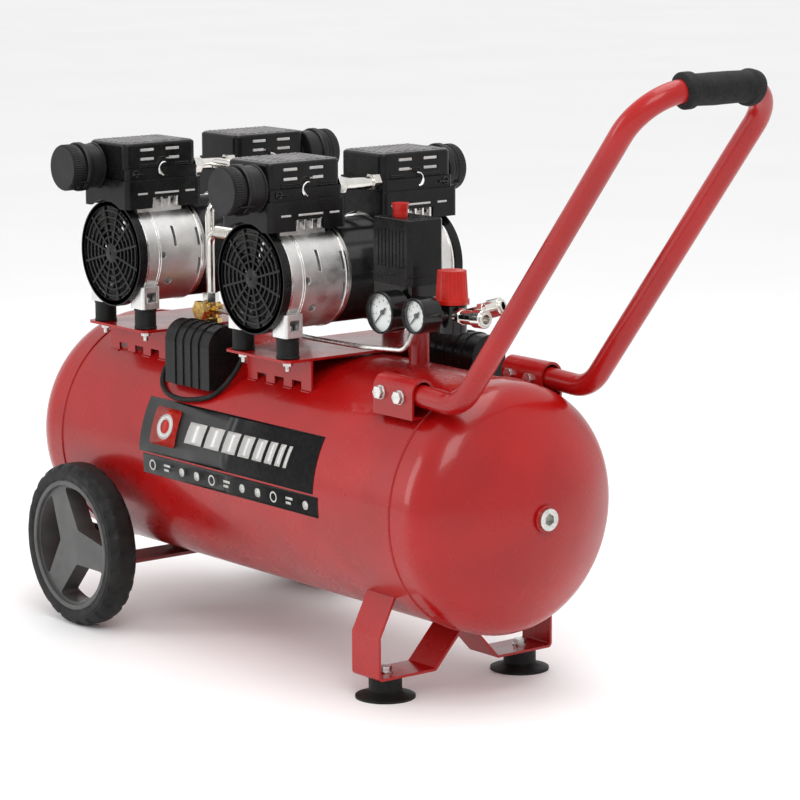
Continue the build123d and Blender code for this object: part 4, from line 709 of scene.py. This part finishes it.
def add_filter_details():
    """Ribbed lid ring, clips and a stepped lid on each intake filter."""
    low, high = span("air_filters")
    centre_z, face_y = (low.z + high.z) / 2, high.y
    rings, clips = Shape(), Shape()
    for unit, sign in (("rear", -1), ("front", 1)):
        for side in (-1, 1):
            x = UNIT_X[unit] - side * sign * FILTER_DX

            def along(distance):
                """Y at a distance behind the filter's face."""
                return side * (face_y - distance)

            lid = [(along(0.05), 3.0), (along(0.05), 21.0), (along(0.9), 22.0), (along(0.9), 23.5),
                   (along(3), 3.0)]
            rings.lathe("y", (x, 0, centre_z), lid)
            ridge = [(along(2.2), 25.5), (along(2.2), 27.8), (along(11.5), 27.8), (along(11.5), 25.5)]
            rings.lathe("y", (x, 0, centre_z), ridge, FILTER_TEETH * 4, tooth_gap)
            band = [(along(18.8), 26.0), (along(18.8), 28.9), (along(20.0), 29.6), (along(25.6), 29.6),
                    (along(27.0), 28.7), (along(27.0), 26.0)]
            rings.lathe("y", (x, 0, centre_z), band)
            rear = [(along(43.0), 25.0), (along(43.0), 27.9), (along(45.0), 27.9), (along(45.6), 25.0)]
            rings.lathe("y", (x, 0, centre_z), rear)
            for turn in FILTER_CLIP_TURNS:
                cx = x + FILTER_CLIP_R * cos(radians(turn))
                cz = centre_z + FILTER_CLIP_R * sin(radians(turn))
                path = [(cx, along(8), cz), (cx, along(16), cz), (cx, along(24), cz), (cx, along(28), cz)]
                clips.tube(path, [1.2, 1.7, 1.7, 1.1], sides=10)
    rings.piece("filter_rings", "filter_plastic", slot="black_plastic")
    clips.piece("filter_clips", "black_plastic")


# ---------------------------------------------------------------- motor units
# start and end of each band on a crankcase, along Y, and its height
CASE_BANDS = ((37.0, 40.5, 1.1), (98.2, 99.6, 0.7), (101.0, 102.4, 0.7), (116.5, 119.4, 1.3))
CAN_R = CASE_R - 2.0
CAN_RIBS, CAN_RIB_PITCH = 26, 2.4
CAN_RING_Y = 33.5


def add_unit_details():
    """Machined bands on the crankcases, cooling rings on the motors and grille rims."""
    bands, cans, rims, end_rings = Shape(), Shape(), Shape(), Shape()
    grille_high = span("fan_grilles")[1]
    grille_r = grille_high.z - SHAFT_Z
    for unit in UNIT_X.values():
        for side in (-1, 1):
            for start, end, lift in CASE_BANDS:
                profile = [(side * start, CASE_R - 1.5), (side * start, CASE_R + lift - 0.4),
                           (side * (start + 0.4), CASE_R + lift), (side * (end - 0.4), CASE_R + lift),
                           (side * end, CASE_R + lift - 0.4), (side * end, CASE_R - 1.5)]
                bands.lathe("y", (unit, 0, SHAFT_Z), profile, 128)
            face = side * grille_high.y
            profile = [(face, grille_r - 6.8), (face, grille_r - 1.6),
                       (face - side * 0.6, grille_r - 0.4), (face - side * 1.8, grille_r),
                       (face - side * 4, grille_r), (face - side * 4, grille_r - 6.8)]
            rims.lathe("y", (unit, 0, SHAFT_Z), profile, 128)
            hub = [(face - side * 0.2, 2.0), (face - side * 0.2, 9.0), (face - side * 1.2, 11.6),
                   (face - side * 3, 11.6), (face - side * 3, 2.0)]
            rims.lathe("y", (unit, 0, SHAFT_Z), hub, 64)
        for index in range(CAN_RIBS):
            y = CAN_RIB_PITCH * (index - (CAN_RIBS - 1) / 2)
            profile = [(y - 0.9, CAN_R - 1), (y - 0.8, CAN_R + 0.3), (y, CAN_R + 0.7), (y + 0.8, CAN_R + 0.3),
                       (y + 0.9, CAN_R - 1)]
            cans.lathe("y", (unit, 0, SHAFT_Z), profile, 96)
        for y in (-CAN_RING_Y, CAN_RING_Y):
            profile = [(y - 1.2, CAN_R - 1), (y - 1.2, CAN_R + 1.3), (y + 1.2, CAN_R + 1.3),
                       (y + 1.2, CAN_R - 1)]
            end_rings.lathe("y", (unit, 0, SHAFT_Z), profile, 96)
    bands.piece("case_bands", "machined", slot="aluminium")
    rims.piece("grille_rims", "black_plastic")
    cans.piece("motor_cooling_rings", "black_paint")
    end_rings.piece("motor_end_rings", "steel")


BUFFER_R = 13.0


def add_buffer_rims():
    """Rolled edges of the rubber mounts."""
    low, high = span("rubber_buffers")
    beads = Shape()
    dx = UNIT_X["rear"] - low.x - BUFFER_R
    y = high.y - BUFFER_R
    for unit in UNIT_X.values():
        for x in (-dx, dx):
            for side in (-1, 1):
                for level in (low.z + 1.6, high.z - 1.6):
                    profile = [(-1.5, BUFFER_R - 1), (-1.5, BUFFER_R + 0.2), (0, BUFFER_R + 0.9),
                               (1.5, BUFFER_R + 0.2), (1.5, BUFFER_R - 1)]
                    beads.lathe("z", (unit + x, side * y, level), profile, 48)
    beads.piece("buffer_rims", "black_rubber")


SLEEVE_RIBS, SLEEVE_START, SLEEVE_PITCH = 17, -134.0, 3.7
DELIVERY_RISE = 28.0


def add_delivery_sleeve():
    """Ribbed sleeve on the delivery pipe between the two units."""
    ribs = Shape()
    for index in range(SLEEVE_RIBS):
        x = SLEEVE_START + SLEEVE_PITCH * index
        profile = [(-1.5, 5.2), (-1.2, 6.9), (0, 7.5), (1.2, 6.9), (1.5, 5.2)]
        ribs.lathe("x", (x, CHECK_WELD[1], SHAFT_Z + DELIVERY_RISE), profile, 32)
    ribs.piece("delivery_ribs", "nickel")


# ---------------------------------------------------------------- gauges
GAUGE_SWEEP = (225.0, -45.0)
GAUGES = {"tank": (24.0, 427.0), "outlet": (20.0, 430.0)}   # radius and height of each gauge's face


def text_mesh(words, size):
    """Mesh of some figures, flat in XY and centred on the origin, in metres."""
    curve = bpy.data.curves.new("figures", "FONT")
    curve.body, curve.size, curve.extrude = words, size * MM, 0.00004
    curve.align_x, curve.align_y = "CENTER", "CENTER"
    holder = bpy.data.objects.new("figures", curve)
    mesh = bpy.data.meshes.new_from_object(holder)
    bpy.data.objects.remove(holder)
    return mesh


DIAL_DIVISIONS = 32
MARK_THICKNESS = Vector((0, -0.12, 0))


def add_gauge_faces():
    """Ticks, figures, a colour band and a bezel on each pressure gauge."""
    dial_y = span("gauge_dials")[0].y
    face_y = span("gauge_cases")[0].y
    low, high = span("gauge_lenses")
    for name, (radius, z) in GAUGES.items():
        x = low.x + radius - 2 if name == "tank" else high.x - radius + 2
        marks, band, bezel = Shape(), Shape(), Shape()
        for index in range(DIAL_DIVISIONS + 1):
            share = index / DIAL_DIVISIONS
            turn = radians(GAUGE_SWEEP[0] + (GAUGE_SWEEP[1] - GAUGE_SWEEP[0]) * share)
            major = index % 4 == 0
            inner, outer = radius * (0.70 if major else 0.77), radius * 0.84
            width = 0.45 if major else 0.22
            along, across = Vector((cos(turn), 0, sin(turn))), Vector((-sin(turn), 0, cos(turn))) * width
            base = Vector((x, dial_y - 0.05, z))
            corners = [base + along * inner - across, base + along * outer - across,
                       base + along * outer + across, base + along * inner + across]
            marks.grid([corners, [corner + MARK_THICKNESS for corner in corners]])
            if major:
                figures = text_mesh(str(index // 4 * 2), radius * 0.17)
                place = row(base + along * radius * 0.55 + Vector((0, -0.06, 0)))
                marks.mesh_of(figures, Matrix.Translation(place) @ Matrix.Rotation(pi / 2, 4, "X"))
        marks.piece(f"dial_marks_{name}", "ink", slot="black_paint")
        rows = []
        for reach in (radius * 0.86, radius * 0.885):
            rows.append([(u, dial_y - 0.1, v) for u, v in arc((x, z), reach, *GAUGE_SWEEP, 48)])
        band.grid(rows, closed_ring=False)
        band.piece(f"dial_arc_{name}", "ink", slot="black_paint", thick=0.08)
        profile = [(0.0, radius - 2.2), (0.0, radius - 0.9), (0.8, radius - 0.1), (2.4, radius + 0.35),
                   (5.0, radius + 0.35), (5.6, radius - 0.4), (2.6, radius - 2.4)]
        bezel.lathe("y", (x, face_y, z), profile, 96)
        bezel.piece(f"bezel_{name}", "black_paint")
        profile = [(face_y + 2.7, 0.4), (face_y + 2.7, 2.2), (face_y + 3.2, 2.9), (face_y + 5.4, 2.9),
                   (face_y + 5.4, 0.4)]
        cap = Shape().lathe("y", (x, 0, z), profile, 32)
        cap.piece(f"needle_cap_{name}", "black_paint", f"needle_{name}")


# ---------------------------------------------------------------- switch, knob
def add_switch_details():
    """Ribs on the switch cover, a moulded foot line, and a flared rim on the button."""
    low, high = span("switch_cover")
    ribs = Shape()
    line_z = (low.z + 10.0, low.z + 11.6)
    for side, y in ((-1, low.y), (1, high.y)):
        for index in range(8):
            x = low.x + 13 + index * (high.x - low.x - 26) / 7
            span_box(ribs, (x - 1.4, x + 1.4), (y - side, y + side * 0.8), (low.z + 20, high.z - 12))
        span_box(ribs, (low.x + 1, high.x - 1), (y - side, y + side * 0.9), line_z)
    for side, x in ((-1, low.x), (1, high.x)):
        span_box(ribs, (x - side, x + side * 0.9), (low.y + 1, high.y - 1), line_z)
    ribs.piece("switch_ribs", "black_plastic", bevel=0.35)
    button_high = span("switch_button")[1]
    centre = middle("switch_button")
    profile = [(-3.0, 8.4), (-0.6, 9.9), (-0.1, 9.6), (0.0, 8.4), (-0.8, 6.0), (-1.2, 1.0), (-2.0, 1.0)]
    flare = Shape().lathe("z", (centre.x, centre.y, button_high.z), profile, 48)
    flare.piece("button_rim", "red_plastic", "switch_button")


def add_knob_rim():
    """Rounded flange and dished top of the regulator's knob."""
    low, high = span("regulator_knob")
    centre = (low + high) / 2
    flange = [(0.4, 17.0), (0.4, 19.6), (2.4, 20.0), (4.6, 19.6), (5.4, 18.4), (5.4, 17.0)]
    rim = Shape().lathe("z", (centre.x, centre.y, low.z), flange, 72)
    dish = [(-2.0, 3.0), (-2.0, 13.0), (-0.2, 12.2), (0.0, 9.0), (-0.7, 8.4), (-0.7, 3.0)]
    rim.lathe("z", (centre.x, centre.y, high.z), dish, 72)
    rim.piece("knob_rim", "red_plastic", "regulator_knob")


# ---------------------------------------------------------------- fasteners and small trim
THREAD_TURNS, THREAD_PITCH = 6, 1.0


def add_threads():
    """Thread on the visible stud ends below the saddle plates."""
    stud_low = span("buffer_studs")[0].z
    threads = Shape()
    buffer_low = span("rubber_buffers")[0]
    dx, y = UNIT_X["rear"] - buffer_low.x - BUFFER_R, -buffer_low.y - BUFFER_R
    for unit in UNIT_X.values():
        for x in (-dx, dx):
            for side in (-1, 1):
                for index in range(THREAD_TURNS):
                    level = stud_low + 0.9 + index * THREAD_PITCH
                    profile = [(-0.45, 2.6), (0, 3.25), (0.45, 2.6)]
                    threads.lathe("z", (unit + x, side * y, level), profile, 24)
    threads.piece("stud_threads", "zinc")


CABLE_R = 3.0
CABLE_ROUTE = [
    (-140, -98, 335), (-149, -98, 335), (-153, -107, 322), (-150, -113, 311),
    (-141, -119, 303), (-121, -124.5, 296), (-92, -126, 294), (-62, -124, 298), (-38, -119, 304),
    (-22, -109, 320), (-13, -98, 340), (-9, -92, 358), (-5, -86, 379), (5, -82, 396), (10.6, -80.8, 404.5),
]


def add_cable():
    """Lead from the near capacitor box up into the front motor."""
    curve = bpy.data.curves.new("capacitor_lead", "CURVE")
    curve.dimensions = "3D"
    curve.bevel_depth, curve.bevel_resolution, curve.resolution_u = CABLE_R * MM, 6, 12
    curve.use_fill_caps = True
    spline = curve.splines.new("NURBS")
    spline.points.add(len(CABLE_ROUTE) - 1)
    for target, point in zip(spline.points, CABLE_ROUTE):
        target.co = (*row(point), 1)
    spline.order_u = 3
    spline.use_endpoint_u = True
    curve.materials.append(MATERIALS["black_rubber"])
    lead = bpy.data.objects.new("capacitor_lead", curve)
    bpy.context.scene.collection.objects.link(lead)
    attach(lead, "frame")
    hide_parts("capacitor_cable")


# ---------------------------------------------------------------- stage, light and camera
FLOOR_REACH = 40.0   # metres


def add_stage():
    """Plain pale floor that reaches far past the view."""
    floor_mesh = bpy.data.meshes.new("floor")
    corners = [(-FLOOR_REACH, -FLOOR_REACH, 0), (FLOOR_REACH, -FLOOR_REACH, 0),
               (FLOOR_REACH, FLOOR_REACH, 0), (-FLOOR_REACH, FLOOR_REACH, 0)]
    floor_mesh.from_pydata(corners, [], [(0, 1, 2, 3)])
    finish = surface("floor", (0.92, 0.92, 0.92), (0.94, 0.94, 0.94), (0.5, 0.6), patch=0.6)
    floor_mesh.materials.append(finish)
    floor = bpy.data.objects.new("floor", floor_mesh)
    bpy.context.scene.collection.objects.link(floor)


def add_softbox(name, place, target, size, power):
    light = bpy.data.lights.new(name, "AREA")
    light.shape, light.size, light.size_y, light.energy = "RECTANGLE", size[0], size[1], power
    lamp = bpy.data.objects.new(name, light)
    lamp.location = place
    lamp.rotation_mode = "QUATERNION"
    lamp.rotation_quaternion = (Vector(target) - Vector(place)).to_track_quat("-Z", "Y")
    bpy.context.scene.collection.objects.link(lamp)


WORLD_STRENGTH = 0.95


def add_light():
    scene = bpy.context.scene
    world = bpy.data.worlds.new("studio")
    world.use_nodes = True
    background = world.node_tree.nodes["Background"]
    background.inputs["Color"].default_value = (1.0, 1.0, 1.0, 1)
    background.inputs["Strength"].default_value = WORLD_STRENGTH
    scene.world = world
    target = (0.0, 0.0, 0.35)
    add_softbox("key", (2.2, -1.4, 2.6), target, (1.6, 1.6), 36)
    add_softbox("overhead", (0.1, 0.2, 2.6), target, (2.4, 1.2), 26)
    add_softbox("left", (-1.6, -2.4, 1.2), target, (1.0, 1.8), 20)
    scene.view_settings.view_transform = "Standard"
    scene.view_settings.look = "None"


CAMERA_PLACE = (3123.86, -2345.71, 987.18)
CAMERA_AZIMUTH = radians(51.56)
CAMERA_ELEVATION = radians(10.1)
CAMERA_ROLL = radians(-0.2)
CAMERA_LENS = 149.66


def add_camera():
    camera = bpy.data.cameras.new("camera")
    camera.lens, camera.sensor_width = CAMERA_LENS, 36.0
    camera.clip_start, camera.clip_end = 0.1, 200.0
    holder = bpy.data.objects.new("camera", camera)
    a, e = CAMERA_AZIMUTH, CAMERA_ELEVATION
    back = Vector((sin(a) * cos(e), -cos(a) * cos(e), sin(e)))
    right = Vector((cos(a), sin(a), 0))
    up = back.cross(right)
    rolled_right = right * cos(CAMERA_ROLL) + up * sin(CAMERA_ROLL)
    rolled_up = up * cos(CAMERA_ROLL) - right * sin(CAMERA_ROLL)
    turn = Matrix((rolled_right, rolled_up, back)).transposed()
    holder.matrix_world = Matrix.Translation(row(CAMERA_PLACE)) @ turn.to_4x4()
    bpy.context.scene.collection.objects.link(holder)
    bpy.context.scene.camera = holder


def dress_cad():
    """Give each CAD node the finish of its material slot."""
    special = {"air_filters": "filter_plastic"}
    for name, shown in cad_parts.items():
        for index, slot in enumerate(shown.data.materials):
            finish = special.get(name, slot.name.split(".")[0])
            shown.data.materials[index] = MATERIALS[finish]


dress_cad()
add_welds()
add_label()
add_tyres()
add_rim_details()
add_grip()
add_head_details()
add_filter_details()
add_unit_details()
add_buffer_rims()
add_delivery_sleeve()
add_gauge_faces()
add_switch_details()
add_knob_rim()
add_threads()
add_cable()
add_stage()
add_light()
add_camera()
